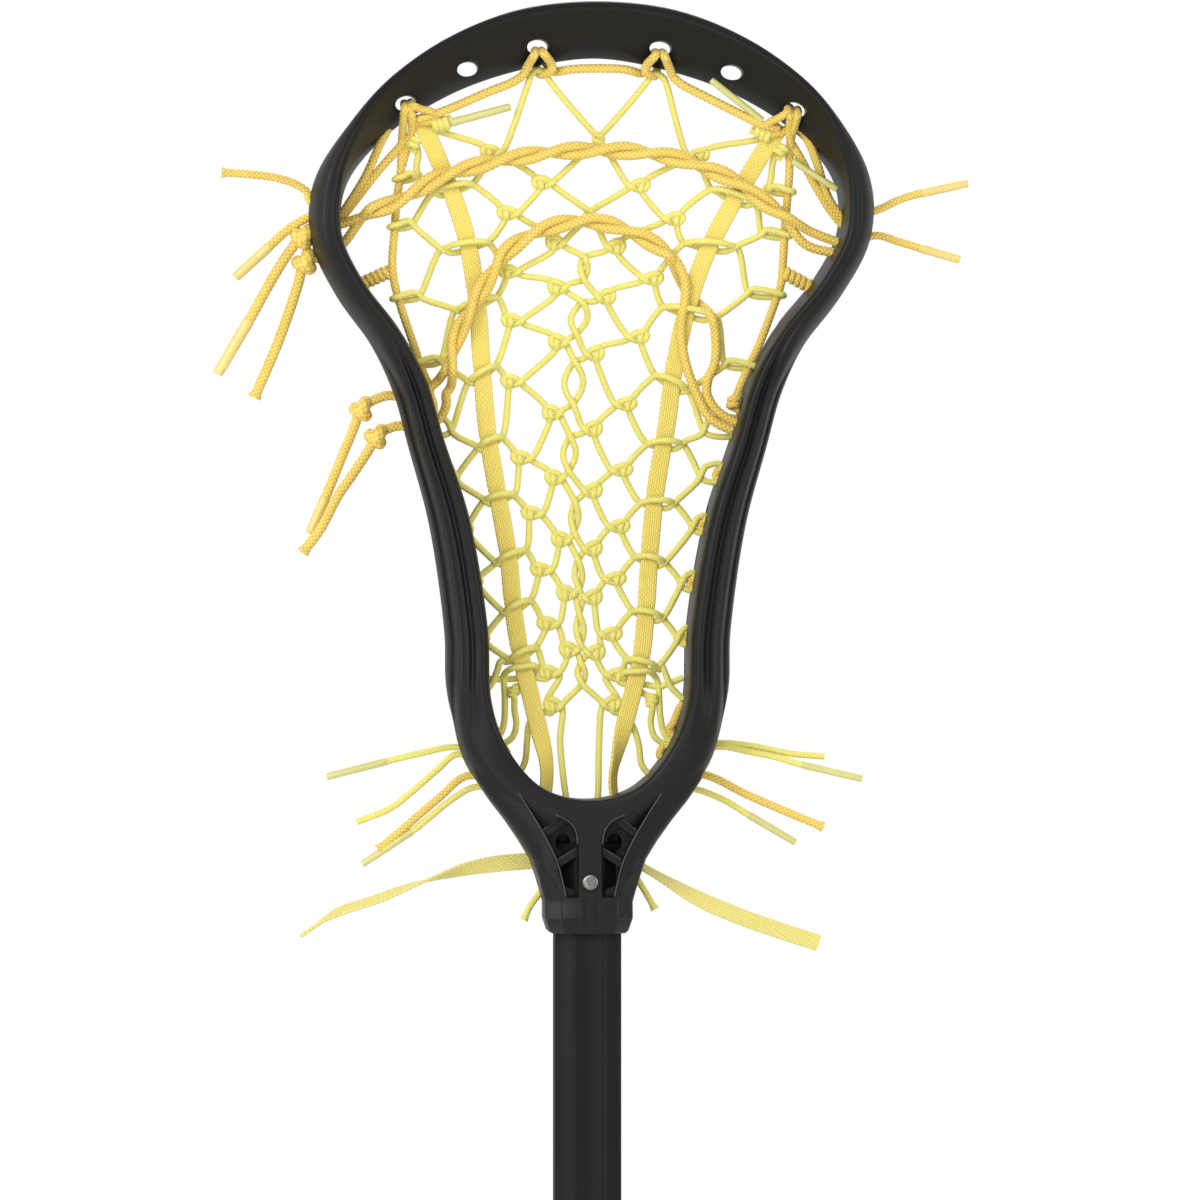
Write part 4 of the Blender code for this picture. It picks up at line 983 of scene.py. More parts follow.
def pocket_cutters():
    above = clip(WINDOW, UPPER_STRUT, STRUT / 2, 1)
    low = clip(WINDOW, UPPER_STRUT, -STRUT / 2, -1)
    below = clip(WINDOW, UPPER_STRUT, STRUT / 2, -1)
    middle = clip(below, LOWER_STRUT, STRUT / 2, 1)
    foot = clip(below, LOWER_STRUT, STRUT / 2, -1)
    deep_foot = clip(foot, GUSSET_LINE, 0.0, 1)
    shapes = []
    for side in (-1, 1):
        shapes.append(loft([[(side * x, depth, z) for x, z in inset(low, -grow)]
                            for grow, depth in RIM]))
        shapes.append(sunk_prism(low, side, STRUT_TOP))
        shapes.append(sunk_prism(above, side, SLOPE_TOP, slope=SLOPE))
        shapes.append(sunk_prism(middle, side, POCKET_FLOOR, 0.3))
        shapes.append(sunk_prism(foot, side, GUSSET_FLOOR, 0.2))
        shapes.append(sunk_prism(deep_foot, side, POCKET_FLOOR, 0.3))
        for x, z, wide, high in CAVITIES:
            shapes.append(tube_between(Vector((side * x, CAVITY_TOP, z)),
                                       Vector((side * x, CAVITY_FLOOR, z)), wide, high, 24))
    return shapes


# %% Ribs round the pockets
def bead(route, side, depth):
    """A thin round rib along a line of the face."""
    points = smooth_route([(side * x, depth, z) for x, z in route], 1.0)
    rings = []
    for here, along in zip(points, directions(points)):
        across, over = crossways(along)
        rings.append(oval(here, across * BEAD / 2, over * BEAD / 2, 8))
    return loft(rings)


def strut_edge(strut):
    """The lower edge of a strut, from end to end."""
    outer, inner = [Vector(end) for end in strut]
    along = (inner - outer).normalized()
    down = Vector((-along.y, along.x)) * -STRUT / 2
    return [tuple(end + down) for end in (outer, inner)]


def pocket_beads():
    lines = ((WINDOW[1:8], FACE), (WINDOW[:8:-1], FACE),
             (strut_edge(UPPER_STRUT), STRUT_TOP), (strut_edge(LOWER_STRUT), STRUT_TOP))
    return [bead(route, side, depth) for side in (-1, 1) for route, depth in lines]


# %% Holes for the strings
SCOOP_HOLES = (
    (-69.5, 313.5), (-46.0, 326.5), (-19.5, 335.0), (27.0, 334.5), (54.0, 325.5), (78.0, 311.5),
)
SIDE_HOLES = (59.5, 70.5, 100.0, 130.0, 160.0, 192.5, 204.0, 230.0)
SCOOP_MIDDLE = 234.3
# Each scoop hole's size across the scoop and along it
SCOOP_HOLE = (5.4, 8.3)
SIDE_HOLE = 4.0
OVERRUN = 4.0
# Share of the wall's width and depth, for a low hole and for a high one
HOLE_OUTER = ((0.39, 11.0), (0.37, -4.5))
HOLE_INNER = ((-0.015, 14.5), (-0.01, -3.5))


def wall_spot(side, height, ends):
    """A point of the sidewall, from its share of the width and depth, low and high."""
    edge, outward, wide = rail_place(side, height)
    share, depth = Vector(ends[0]).lerp(Vector(ends[1]), fade(height, 195.0, 300.0))
    spot = edge + outward * share * wide
    return Vector((spot.x, depth, spot.y))


def hole_line(side, height):
    """Both ends of a hole through a sidewall, and the way out."""
    inner = wall_spot(side, height, HOLE_INNER)
    outer = wall_spot(side, height, HOLE_OUTER)
    return inner, outer, (outer - inner).normalized()


def hole_cutters():
    shapes = []
    for x, z in SCOOP_HOLES:
        tangent = Vector((z - SCOOP_MIDDLE, 0.0, -x / 3)).normalized()
        shapes.append(tube_between(Vector((x, -36.0, z)), Vector((x, 20.0, z)),
                                   *SCOOP_HOLE, 32, tangent))
    for side in (-1, 1):
        for height in SIDE_HOLES:
            inner, outer, way = hole_line(side, height)
            shapes.append(tube_between(inner - way * OVERRUN, outer + way * OVERRUN,
                                       SIDE_HOLE, SIDE_HOLE, 16))
    return shapes


# %% Booleans and octagons
FLAT_SHARES = (0.05, 0.09, 0.15, 0.32, 0.5, 0.68, 0.85, 0.91, 0.95)


def combine(target, tool, operation):
    step = target.modifiers.new(operation.lower(), "BOOLEAN")
    step.operation = operation
    step.object = tool
    step.solver = "MANIFOLD"
    mesh = plain_mesh(target, target.name)
    before = len(target.data.polygons)
    target.modifiers.clear()
    target.data = mesh
    bpy.data.objects.remove(tool, do_unlink=True)
    print("%s: %d faces became %d" % (operation, before, len(mesh.polygons)))


def octagon(across, height, hollow=0.0):
    """An upright octagon with a flat to the front. Its flats may be a little hollow."""
    reach = across / 2 / math.cos(math.pi / 8)
    turns = [math.pi / 8 + number * math.pi / 4 for number in range(9)]
    corners = [Vector((math.cos(turn), math.sin(turn))) * reach for turn in turns]
    if not hollow:
        return [(corner.x, corner.y, height) for corner in corners[:8]]
    ring = []
    for start, end in zip(corners, corners[1:]):
        inward = -(start + end).normalized()
        for share in FLAT_SHARES:
            dip = hollow * ease(min(share, 1 - share) / 0.3)
            spot = start.lerp(end, share) + inward * dip
            ring.append((spot.x, spot.y, height))
    return ring


# %% Join and cut the head
SHAFT_ACROSS = 25.4
SOCKET_ACROSS = SHAFT_ACROSS + 0.6
SOCKET_LOW = -4.0
SOCKET_TOP = 34.0
SCREW_HEIGHT = 19.5
SCREW_WAY = 4.6
STRIP_HALF = 2.6
STRIP_DEPTH = 0.55
STRIP_LOW = -1.0
HEAD_SHARP = 32


def collar_strip():
    """A shallow channel up the collar's front, as far as the screw."""
    corners = ((-STRIP_HALF, STRIP_LOW), (STRIP_HALF, STRIP_LOW),
               (STRIP_HALF, SCREW_HEIGHT), (-STRIP_HALF, SCREW_HEIGHT))
    return loft([[(x, depth, z) for x, z in corners]
                 for depth in (BEFORE_HEAD, STRIP_DEPTH - COLLAR_HALF)])


throat = mesh_object("throat", [throat_block()], "head_plastic")
combine(throat, mesh_object("plug", [opening_plug()]), "DIFFERENCE")
combine(head, throat, "UNION")
for shape in pocket_cutters():
    combine(head, mesh_object("pocket", [shape]), "DIFFERENCE")
LAST_CUTS = {
    "strip": [collar_strip()],
    "socket": [loft([octagon(SOCKET_ACROSS, height) for height in (SOCKET_LOW, SOCKET_TOP)])],
    "screw_way": [tube_between(Vector((0, -34, SCREW_HEIGHT)), Vector((0, 0, SCREW_HEIGHT)),
                               SCREW_WAY, SCREW_WAY, 24)],
    "holes": hole_cutters(),
}
for name, shapes in LAST_CUTS.items():
    combine(head, mesh_object(name, shapes), "DIFFERENCE")
head.data.name = "head"
soften(head.data, HEAD_SHARP)
settle(head, "head_plastic", "head_frame")

# %% The ribs
# The ribs take the paler plastic, a painted highlight along the pocket edges.
edges = mesh_object("pocket_edges", pocket_beads(), "painted_highlight_plastic", 80.0)
settle(edges, "head_plastic")

# %% [markdown]
# ## Shaft, cap and screw
#
# The shaft is an extruded octagon whose flats are a little hollow, so that each mirrors
# a narrow band of light. The rubber cap is a cup over its butt end, with grip ribs.

# %% The shaft
BUTT = -736.5
SHAFT_LOW = BUTT + 4.3
FLAT_HOLLOW = 0.55
BORE_ACROSS = SHAFT_ACROSS - 2.4
BORE_HOLLOW = 0.3
CHAMFER_ACROSS = 0.8
CHAMFER_HIGH = 0.5

shaft_rings = [octagon(SHAFT_ACROSS, SHAFT_LOW, FLAT_HOLLOW),
               octagon(SHAFT_ACROSS, SOCKET_TOP - CHAMFER_HIGH, FLAT_HOLLOW),
               octagon(SHAFT_ACROSS - CHAMFER_ACROSS, SOCKET_TOP, FLAT_HOLLOW),
               octagon(BORE_ACROSS, SOCKET_TOP, BORE_HOLLOW),
               octagon(BORE_ACROSS, SHAFT_LOW, BORE_HOLLOW)]
shaft = mesh_object("shaft_tube", [loft(shaft_rings, closed_loop=True)], "shaft_metal", 20.0)
settle(shaft, "shaft_metal", "shaft")

# %% The end cap: how much narrower or wider, height over the butt
CAP_INNER = SHAFT_ACROSS + 0.6
CAP_OUTER = CAP_INNER + 4.4
CAP_FOOT = ((3.4, 0.0), (2.0, 0.3), (0.6, 1.2), (0.0, 2.6))
CAP_GROOVE = ((0.0, 7.0), (1.0, 7.35), (1.0, 8.1), (0.0, 8.45))
CAP_GROOVES = 5
GROOVE_STEP = 3.4
CAP_LIP = ((0.0, 30.6), (0.5, 31.6), (1.4, 32.0))
CAP_INSIDE = ((0.4, 32.0), (0.0, 31.6), (0.0, 4.0))


def cap_rings():
    """Up the outside of the cup and down its inside."""
    outside = [*CAP_FOOT]
    for number in range(CAP_GROOVES):
        outside += [(dip, height + number * GROOVE_STEP) for dip, height in CAP_GROOVE]
    outside += CAP_LIP
    rings = [octagon(CAP_OUTER - dip, BUTT + height) for dip, height in outside]
    return rings + [octagon(CAP_INNER + wider, BUTT + height) for wider, height in CAP_INSIDE]


cap = mesh_object("butt_cap", [loft(cap_rings())], "cap_rubber", 25.0)
settle(cap, "cap_rubber", "end_cap", body="cap")

# %% The screw: radius, depth
SCREW_PROFILE = (
    (2.0, -10.0), (2.0, -17.0), (3.1, -17.0), (3.2, -17.3), (3.15, -17.9), (2.9, -18.4),
    (2.5, -18.7), (1.8, -18.8), (1.2, -18.8),
)
HEX_WAY = ((1.3, -25.0), (1.3, -17.9))


def screw_loft(profile, sides):
    """A round or many-sided shape along the screw's own line."""
    return loft([oval(Vector((0.0, depth, SCREW_HEIGHT)), Vector((radius, 0.0, 0.0)),
                      Vector((0.0, 0.0, radius)), sides) for radius, depth in profile])


screw = mesh_object("collar_screw", [screw_loft(SCREW_PROFILE, 40)], "screw_steel", 30.0)
combine(screw, mesh_object("hex", [screw_loft(HEX_WAY, 6)]), "DIFFERENCE")
soften(screw.data, 30)
settle(screw, "screw_steel", "head_screw")

# %% [markdown]
# ## Free string ends
#
# The strings are tied through holes in the sidewalls, and their ends hang out. Each is a
# short free cord of a known length. It starts inside its hole, and many end in an aglet,
# a plastic tip that was shrunk on.

# %% Routes of the ends: sideways, height, from where each passes the wall's outline
# hole is the hole's height, and lift is how much higher in it the cord lies. gold is the
# diameter of a gold cord, and a cord without it is a lemon one. aglet is the tip's length.
# swing is how far the end lies behind the hole.
TAILS = {
    "tail_left_1": dict(hole=280.0, gold=3.0, flared=True, route=(
        (-104.0, 275.9), (-105.5, 277.4), (-106.0, 279.8), (-110.0, 282.9), (-117.9, 285.6),
        (-128.0, 286.9), (-138.5, 287.6),
    )),
    "tail_left_2": dict(hole=271.5, gold=3.4, aglet=17.0, route=(
        (-103.9, 271.4), (-113.5, 266.0), (-120.8, 259.4), (-133.3, 247.9),
    )),
    "tail_left_3": dict(hole=263.0, gold=3.9, knotted=True, aglet=23.0, route=(
        (-103.5, 265.5), (-107.5, 264.0), (-113.0, 257.5), (-121.0, 244.5), (-128.8, 230.5),
        (-140.0, 211.5),
    )),
    "tail_left_4": dict(hole=254.5, gold=3.9, knotted=True, flared=True, route=(
        (-102.2, 255.4), (-106.8, 254.3), (-109.3, 246.0), (-113.0, 234.5), (-118.0, 221.0),
        (-126.0, 202.5),
    )),
    "tail_left_5": dict(hole=204.0, gold=3.7, knotted=True, aglet=14.0, route=(
        (-75.5, 203.5), (-84.9, 198.8), (-87.6, 192.0), (-92.1, 181.1), (-98.7, 164.9),
        (-104.5, 151.0),
    )),
    "tail_left_6": dict(hole=192.5, gold=3.7, knotted=True, swing=-3.5, flared=True, route=(
        (-71.5, 192.0), (-79.2, 188.4), (-82.4, 182.8), (-87.5, 175.0), (-94.1, 165.4),
        (-101.0, 152.5), (-107.5, 144.0),
    )),
    "tail_left_7": dict(hole=70.5, lift=1.6, aglet=23.0, route=(
        (-50.4, 70.2), (-63.0, 67.7), (-75.9, 64.6), (-98.2, 58.9),
    )),
    "tail_left_8": dict(hole=70.5, lift=-1.6, route=(
        (-49.2, 67.3), (-55.7, 62.0), (-65.8, 53.2), (-73.9, 47.0), (-86.7, 41.7),
    )),
    "tail_left_9": dict(hole=59.5, gold=3.0, lift=1.9, flared=True, route=(
        (-45.0, 59.2), (-55.7, 50.7), (-71.2, 37.4), (-78.6, 31.2),
    )),
    "tail_left_10": dict(hole=59.5, lift=-1.9, aglet=21.9, route=(
        (-41.8, 55.0), (-49.6, 51.0), (-60.4, 42.4), (-66.5, 37.7), (-84.7, 25.6),
    )),
    "tail_right_1": dict(hole=271.5, gold=3.0, aglet=17.7, route=(
        (111.5, 274.5), (118.6, 277.9), (127.9, 280.6), (145.0, 284.4),
    )),
    "tail_right_2": dict(hole=263.0, gold=3.0, aglet=16.1, route=(
        (110.2, 264.4), (118.6, 262.1), (126.6, 259.8), (142.1, 255.3),
    )),
    "tail_right_3": dict(hole=70.5, lift=1.6, route=(
        (50.7, 71.5), (63.0, 70.6), (78.0, 67.6), (91.5, 66.4),
    )),
    "tail_right_4": dict(hole=70.5, lift=-0.6, aglet=23.0, swing=-2.0, route=(
        (50.7, 70.2), (63.0, 68.2), (74.0, 65.9), (84.0, 63.0), (105.5, 58.0),
    )),
    "tail_right_5": dict(hole=59.5, gold=3.1, lift=1.9, swing=3.0, flared=True, route=(
        (44.3, 59.7), (62.5, 51.6), (80.7, 43.8), (91.0, 39.6),
    )),
    "tail_right_6": dict(hole=59.5, lift=-1.9, aglet=20.0, route=(
        (40.3, 54.3), (52.4, 50.2), (63.2, 43.8), (80.4, 33.7),
    )),
}
TAIL_SWING = 2.0
HIDDEN_END = 4.5
FREE_OF_WALL = 0.75


# %% Aglets and overhand knots
def aglet_piece(name, start, end, wide, finish="aglet_plastic"):
    """A shrunk plastic tip: crimped where it grips the cord, cut square at its end."""
    along = (end - start).normalized()
    across, over = crossways(along)
    length = (end - start).length
    profile = ((0.0, 0.82), (0.0, 0.95), (0.4, 1.0), (length * 0.3, 0.99), (length * 0.32, 0.95),
               (length * 0.36, 0.95), (length * 0.38, 0.99), (length * 0.7, 0.96),
               (length - 1.0, 0.93), (length - 0.3, 0.88), (length, 0.74))
    rings = [oval(start + along * far, across * wide / 2 * size, over * wide / 2 * size, 20)
             for far, size in profile]
    return mesh_object(name, [loft(rings)], finish, 40.0)


def overhand_knot(name, centre, along, wide):
    """A tight overhand knot: one bight round the cord, and one over the top of it."""
    along = along.normalized()
    across, back = crossways(along)
    ring = []
    for number in range(25):
        turn = math.tau * number / 24
        ring.append(centre + along * (0.42 + 0.10 * math.cos(turn)) * wide
                    + (across * math.cos(turn) - back * math.sin(turn)) * wide * 0.62)
    arch = [centre + (along * down - back * out + across * 0.12) * wide
            for down, out in ((0.3, -0.3), (-0.3, -0.5), (-0.62, -0.25), (-0.66, 0.25),
                              (-0.36, 0.68), (0.10, 0.76), (0.50, 0.45))]
    return cord(name, [ring, arch], wide * 1.36, gold=True)[0]


# %% Make the ends
def declare(points, way_out, diameter):
    """Works out a free cord's length, way out, diameter and points in metres, and keeps none of
    them.
    """
    line_length(points)
    tuple(way_out * MM)
    diameter * MM
    [tuple(point * MM) for point in points]


def make_tail(name, hole, route, gold=None, aglet=0.0, knotted=False, lift=0.0,
              swing=TAIL_SWING, flared=False):
    side = -1 if route[0][0] < 0 else 1
    diameter = gold or LEMON_CORD
    way_out, way = hole_line(side, hole + lift)[1:]
    outward = rail_place(side, hole)[1]
    start = way_out + Vector((outward.x, 0.0, outward.y)) * FREE_OF_WALL
    points = [start - way * HIDDEN_END, start - way * HIDDEN_END / 2, start]
    for number, (x, z) in enumerate(route):
        points.append(Vector((x, start.y + swing * (number + 1) / len(route), z)))
    extras = []
    if knotted:
        extras.append(overhand_knot(name.replace("tail", "knot"), points[4],
                                    points[5] - points[4], diameter))
    if aglet:
        end = points[-1]
        back = (points[-2] - end).normalized()
        tip = end + back * aglet
        kept = points[:-1] if aglet < (points[-2] - end).length - diameter else points[:-2]
        points = kept + [tip + back * diameter, tip]
        extras.append(aglet_piece(name.replace("tail", "tip"), tip + back * 0.5, end,
                                  diameter * 1.13, "gold_aglet" if gold else "aglet_plastic"))
    made, lines = cord(name.replace("tail", "string_end"), [points], diameter,
                       gold=bool(gold), flared=flared)
    settle(made, "gold_string" if gold else "lemon_string", name)
    for piece in extras:
        if piece.name.startswith("tip"):
            settle(piece, "aglet_plastic", name.replace("tail", "aglet"))
        else:
            settle(piece, "gold_string")
    if name == "tail_left_4":
        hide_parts("aglet_left_4")
    declare(lines[0], way_out, diameter)


for name, facts in TAILS.items():
    make_tail(name, **facts)

# %% [markdown]
# ## Flat laces
#
# The runners are flat woven laces. A lace is a ribbon with fine ribs along it, swept
# along its route with its flat side to the front. Its UV map holds the distance along
# and the place across, which is all that the weave's formula needs.


# %% The lace's sweep
LACE_PITCH = 0.8


def lace(name, route, wide, thick, turns, pinches=(), finish="flat_lace"):
    """A ribbed ribbon. Each turn gives degrees and the distances along the lace that it
    starts and ends at, and the lace narrows a little at each pinch."""
    points = smooth_route(route, LACE_PITCH)
    lengths = running_lengths(points)
    fine = LACE_RIBS * 3
    front = []
    for number in range(fine + 1):
        share = -1.0 + 2.0 * number / fine
        rib = abs(math.sin(math.pi * (share * LACE_RIBS / 2)))
        front.append((share, (1.0 - abs(share) ** 7) ** 0.5 * (0.80 + 0.20 * rib)))
    section = front + [(share, -high) for share, high in reversed(front[1:-1])]
    rings = []
    for here, along, far in zip(points, directions(points), lengths):
        across, deep = crossways(along)
        angle = math.radians(sum(degrees * fade(far, *ends) for degrees, *ends in turns))
        side = across * math.cos(angle) + deep * math.sin(angle)
        face = deep * math.cos(angle) - across * math.sin(angle)
        near = min([abs(here.z - pinch) for pinch in pinches], default=99.0)
        half = wide / 2 * (1.0 - 0.06 * ease(1.0 - near / 5.0))
        half *= 1.0 + 0.025 * math.cos(math.tau * far / LACE_STITCH)
        rings.append([here + side * share * half + face * high * thick / 2
                      for share, high in section])
    made = mesh_object(name, [loft(rings)], finish, 60.0)
    layer = made.data.uv_layers.new(name="lace")
    for loop in made.data.loops:
        row, column = divmod(loop.vertex_index, len(section))
        layer.data[loop.index].uv = (lengths[row], section[column][0])
    return made, points


# %% Runners: routes, heights of the wraps that pinch them, and turns
LEFT_RUNNER = (
    (-63.4, 307.0), (-57.4, 294.0), (-50.2, 276.5), (-45.6, 262.0), (-41.6, 239.0), (-39.8, 217.0),
    (-37.4, 190.0), (-33.2, 165.0), (-29.3, 142.5), (-27.2, 121.0), (-24.6, 105.0), (-21.2, 91.0),
    (-17.8, 77.0), (-15.3, 66.5), (-14.8, 59.0), (-15.6, 51.0),
)
RIGHT_RUNNER = (
    (73.2, 306.0), (65.4, 294.0), (54.8, 276.0), (45.8, 258.5), (39.2, 240.0), (33.8, 215.0),
    (31.0, 193.0), (26.9, 168.0), (24.6, 144.0), (23.1, 121.0), (21.4, 105.0), (18.4, 92.0),
    (14.6, 77.5), (11.9, 67.0), (10.3, 58.5), (10.8, 50.0),
)
RUNNER_FRONT = 2.8
RUNNER_WIDTH = 6.8
RUNNER_THICK = 1.5
LEFT_WRAPS = (282.0, 260.0, 238.5, 212.0, 186.0, 165.0, 143.0, 124.0, 106.0)
RIGHT_WRAPS = (279.0, 260.5, 235.5, 209.0, 185.5, 163.0, 141.5, 121.0, 102.0)

for name, route, wraps, turn in (
        ("runner_left", LEFT_RUNNER, LEFT_WRAPS, (42.0, 232.0, 256.0)),
        ("runner_right", RIGHT_RUNNER, RIGHT_WRAPS, (62.0, 234.0, 258.0))):
    made, points = lace(name + "_lace", strung(route, RUNNER_FRONT), RUNNER_WIDTH,
                        RUNNER_THICK, [turn], wraps)
    settle(made, "flat_lace", name)
    print("%s is %.0f mm long" % (name, line_length(points)))

# %% Ends of the laces: route, turns
LACE_TAILS = {
    "lace_tail_left": ((
        (-20.5, 27.0), (-33.4, 25.9), (-45.0, 24.0), (-56.8, 20.7), (-65.2, 18.0), (-80.4, 12.2),
        (-92.2, 8.4), (-98.5, 5.3), (-103.0, 2.2), (-108.2, -1.4),
    ), ((118.0, 4.0, 60.0), (-26.0, 74.0, 86.0))),
    "lace_tail_right": ((
        (19.0, 26.2), (30.5, 19.5), (43.0, 12.5), (55.5, 7.0), (72.0, 1.0), (89.0, -4.5),
    ), ((66.0, 40.0, 6.0),)),
}
SHORT_TAILS = {
    "short_tail_left": ((-16.2, 16.5), (-18.4, 13.4), (-21.2, 9.5), (-23.5, 4.5)),
    "short_tail_right": ((17.6, 22.5), (20.3, 19.0), (23.4, 14.0), (26.5, 8.5)),
}
LACE_WIDTH = 6.3
LACE_THICK = 1.3
LACE_BACK = 9.0


def placed(route):
    """Points from places given as sideways, height, depth."""
    return [Vector((x, depth, z)) for x, z, depth in route]


def at_depth(route, depth):
    return placed([(x, z, depth) for x, z in route])


for name, (route, turns) in LACE_TAILS.items():
    made, points = lace(name.replace("tail", "end"), at_depth(route, LACE_BACK), LACE_WIDTH,
                        LACE_THICK, turns, finish="pale_lace")
    settle(made, "flat_lace", name)
    declare(points, points[0], LACE_WIDTH)
for name, route in SHORT_TAILS.items():
    made = cord(name.replace("tail", "end"), [at_depth(route, LACE_BACK)], flared=True)[0]
    settle(made, "lemon_string", name)

# %% [markdown]
# ## The cross-lace
#
# The cross-lace is one string, woven in rows from the sidewalls to the middle and back.
# Each row is a route through the same four events: a loop round the sidewall string, a
# wrap round the runner, knots with the rows above and below, and a hold on the row from
# the other side. Each event is a short list of offsets from its place, so the whole net
# comes from the places of its knots, column by column.

# %% Places of the knots and wraps: sideways, height
LEFT = dict(
    side=(
        (-65.5, 286.5), (-66.5, 268.5), (-63.5, 241.5), (-55.5, 217.0), (-51.0, 190.5),
        (-49.0, 172.0), (-45.4, 152.5), (-41.2, 132.5), (-38.3, 111.0),
    ),
    out=(
        (-58.5, 280.5), (-55.0, 259.0), (-49.5, 236.0), (-44.5, 209.0), (-41.0, 184.0),
        (-38.5, 164.0), (-34.0, 140.5), (-31.0, 121.5), (-29.0, 103.5),
    ),
    inn=(
        (-43.5, 283.5), (-37.5, 261.5), (-34.0, 241.0), (-34.0, 215.0), (-31.5, 188.0),
        (-27.0, 166.0), (-22.5, 145.0), (-20.5, 126.0), (-18.5, 108.0),
    ),
    mid=(
        (-36.0, 295.5), (-29.5, 272.5), (-29.0, 250.5), (-27.5, 232.0), (-27.5, 209.0),
        (-23.5, 180.0), (-19.5, 159.0), (-16.0, 137.5), (-13.5, 117.0), (-13.0, 98.5),
    ),
    centre=(
        (-11.5, 261.5), (-10.5, 244.5), (-10.0, 224.0), (-12.0, 197.0), (-11.0, 172.5),
        (-8.5, 149.0), (-6.5, 128.5), (-5.5, 107.0), (-11.5, 86.0),
    ),
    top=(-16.5, 284.0),
    scoop=((-22.5, 322.0), (-15.0, 323.5)),
    corner=(-57.0, 303.4),
    rise=((-64.9, 290.2), (-64.3, 294.5), (-65.0, 299.0)),
)
RIGHT = dict(
    side=(
        (69.5, 282.0), (67.0, 265.5), (62.0, 243.0), (53.5, 216.0), (45.0, 190.5), (43.8, 173.0),
        (40.8, 153.5), (36.6, 131.8), (35.2, 111.0),
    ),
    out=(
        (63.5, 276.5), (56.5, 260.0), (49.0, 233.5), (39.0, 206.0), (37.0, 185.5), (34.0, 163.0),
        (30.5, 140.5), (29.5, 119.5), (27.5, 100.5),
    ),
    inn=(
        (47.0, 282.0), (37.0, 261.5), (29.5, 237.5), (26.5, 211.5), (23.5, 185.5), (21.0, 163.0),
        (19.0, 142.5), (18.0, 122.0), (16.0, 103.5),
    ),
    mid=(
        (41.5, 294.5), (32.5, 270.5), (24.5, 248.0), (19.5, 226.0), (15.0, 200.5), (13.5, 175.5),
        (12.5, 154.0), (11.0, 134.0), (9.5, 113.0), (11.5, 97.5),
    ),
    centre=(
        (10.5, 260.0), (7.0, 241.0), (3.0, 219.5), (2.5, 191.0), (2.5, 167.5), (2.5, 145.5),
        (2.5, 127.0), (3.5, 106.0), (9.5, 86.5),
    ),
    top=(19.0, 283.0),
    scoop=((30.0, 320.5), (23.0, 323.5)),
    corner=(66.5, 300.8),
    rise=((69.8, 286.5), (70.2, 291.0), (71.4, 295.5)),
)
TWIST_TOP = (
    (-1.0, 256.0), (-1.5, 239.0), (-4.0, 216.5), (-5.5, 188.0), (-3.5, 163.0), (-2.5, 141.0),
    (-2.0, 120.5), (-1.5, 102.0),
)
TWIST_END = (
    (-1.0, 247.5), (-3.5, 227.0), (-4.5, 200.5), (-6.0, 175.0), (-4.0, 152.0), (-2.0, 130.0),
    (-1.5, 109.0), (-1.0, 94.0),
)
OPEN_TWISTS = {1: 3.1, 2: 3.6, 3: 2.4}
CLOSE_TWIST = 1.4
TOP_MIDDLE = (4.0, 300.5)
TOP_CROSSING = (1.0, 272.0)

# %% Events of the weave: inwards, up, back
# Two strands hook each other in a knot: one comes from the row above, one from below.
FROM_ABOVE = (
    (-2.9, 2.6, 0.0), (-3.5, 0.6, -0.9), (-2.7, -1.5, -0.9), (-0.8, -2.1, 0.5), (1.0, -1.5, -0.5),
    (2.5, -0.3, -1.5), (3.8, 1.3, -0.6),
)
FROM_BELOW = (
    (-1.4, -3.2, -0.4), (-1.1, -1.2, -1.7), (-1.4, 0.6, -1.0), (-2.5, 1.0, 1.3), (-3.2, 1.9, 0.0),
    (-1.6, 2.5, -1.3), (0.6, 1.7, -1.2), (2.0, 0.3, -0.3), (3.2, -1.5, 0.4),
)
CENTRE_KNOT = (0.95, 0.95)
MIDDLE_KNOT = (1.12, 0.76)


def event(place, outer, offsets, size=MIDDLE_KNOT):
    """A knot's offsets as points. outer is -1 on the left half and 1 on the right."""
    x, z = place
    return [on_net(x - outer * inwards * size[0], z + up * size[1], -back)
            for inwards, up, back in offsets]


# Across a runner: share of the way, up, back
FRONT_BAND = (
    (-0.06, -0.9, -0.3), (0.12, 0.4, -3.3), (0.32, 1.0, -4.9), (0.68, 1.0, -4.9), (0.88, 0.4, -3.6),
    (1.04, -0.9, -1.6),
)
BACK_BAND = (
    (-0.05, 0.7, 0.1), (0.15, -0.6, 0.4), (0.5, -1.8, 0.5), (0.8, -2.0, -0.4), (0.98, -0.3, -1.9),
    (1.08, 0.9, -1.2),
)


def band(start, end, steps):
    points = []
    for share, up, back in steps:
        x, z = Vector(start).lerp(Vector(end), share)
        points.append(on_net(x, z + up, -back))
    return points


def twist(row, outer):
    """Half a turn of the two middle strands round each other: they hook and go back."""
    reach = OPEN_TWISTS.get(row, CLOSE_TWIST)
    points = []
    for step in range(7):
        angle = math.pi * step / 6
        x, z = Vector(TWIST_TOP[row]).lerp(Vector(TWIST_END[row]), step / 6)
        points.append(on_net(x - outer * reach * math.sin(angle), z,
                             -outer * 1.3 * math.cos(angle)))
    return points


def hook(place, outer):
    """Two strands from both halves hook each other between two open meshes."""
    x, z = place
    return [on_net(x + outer * 1.6, z + 2.2, -outer * 1.1), on_net(x - outer * 1.5, z),
            on_net(x + outer * 1.6, z - 2.2, outer * 1.1)]


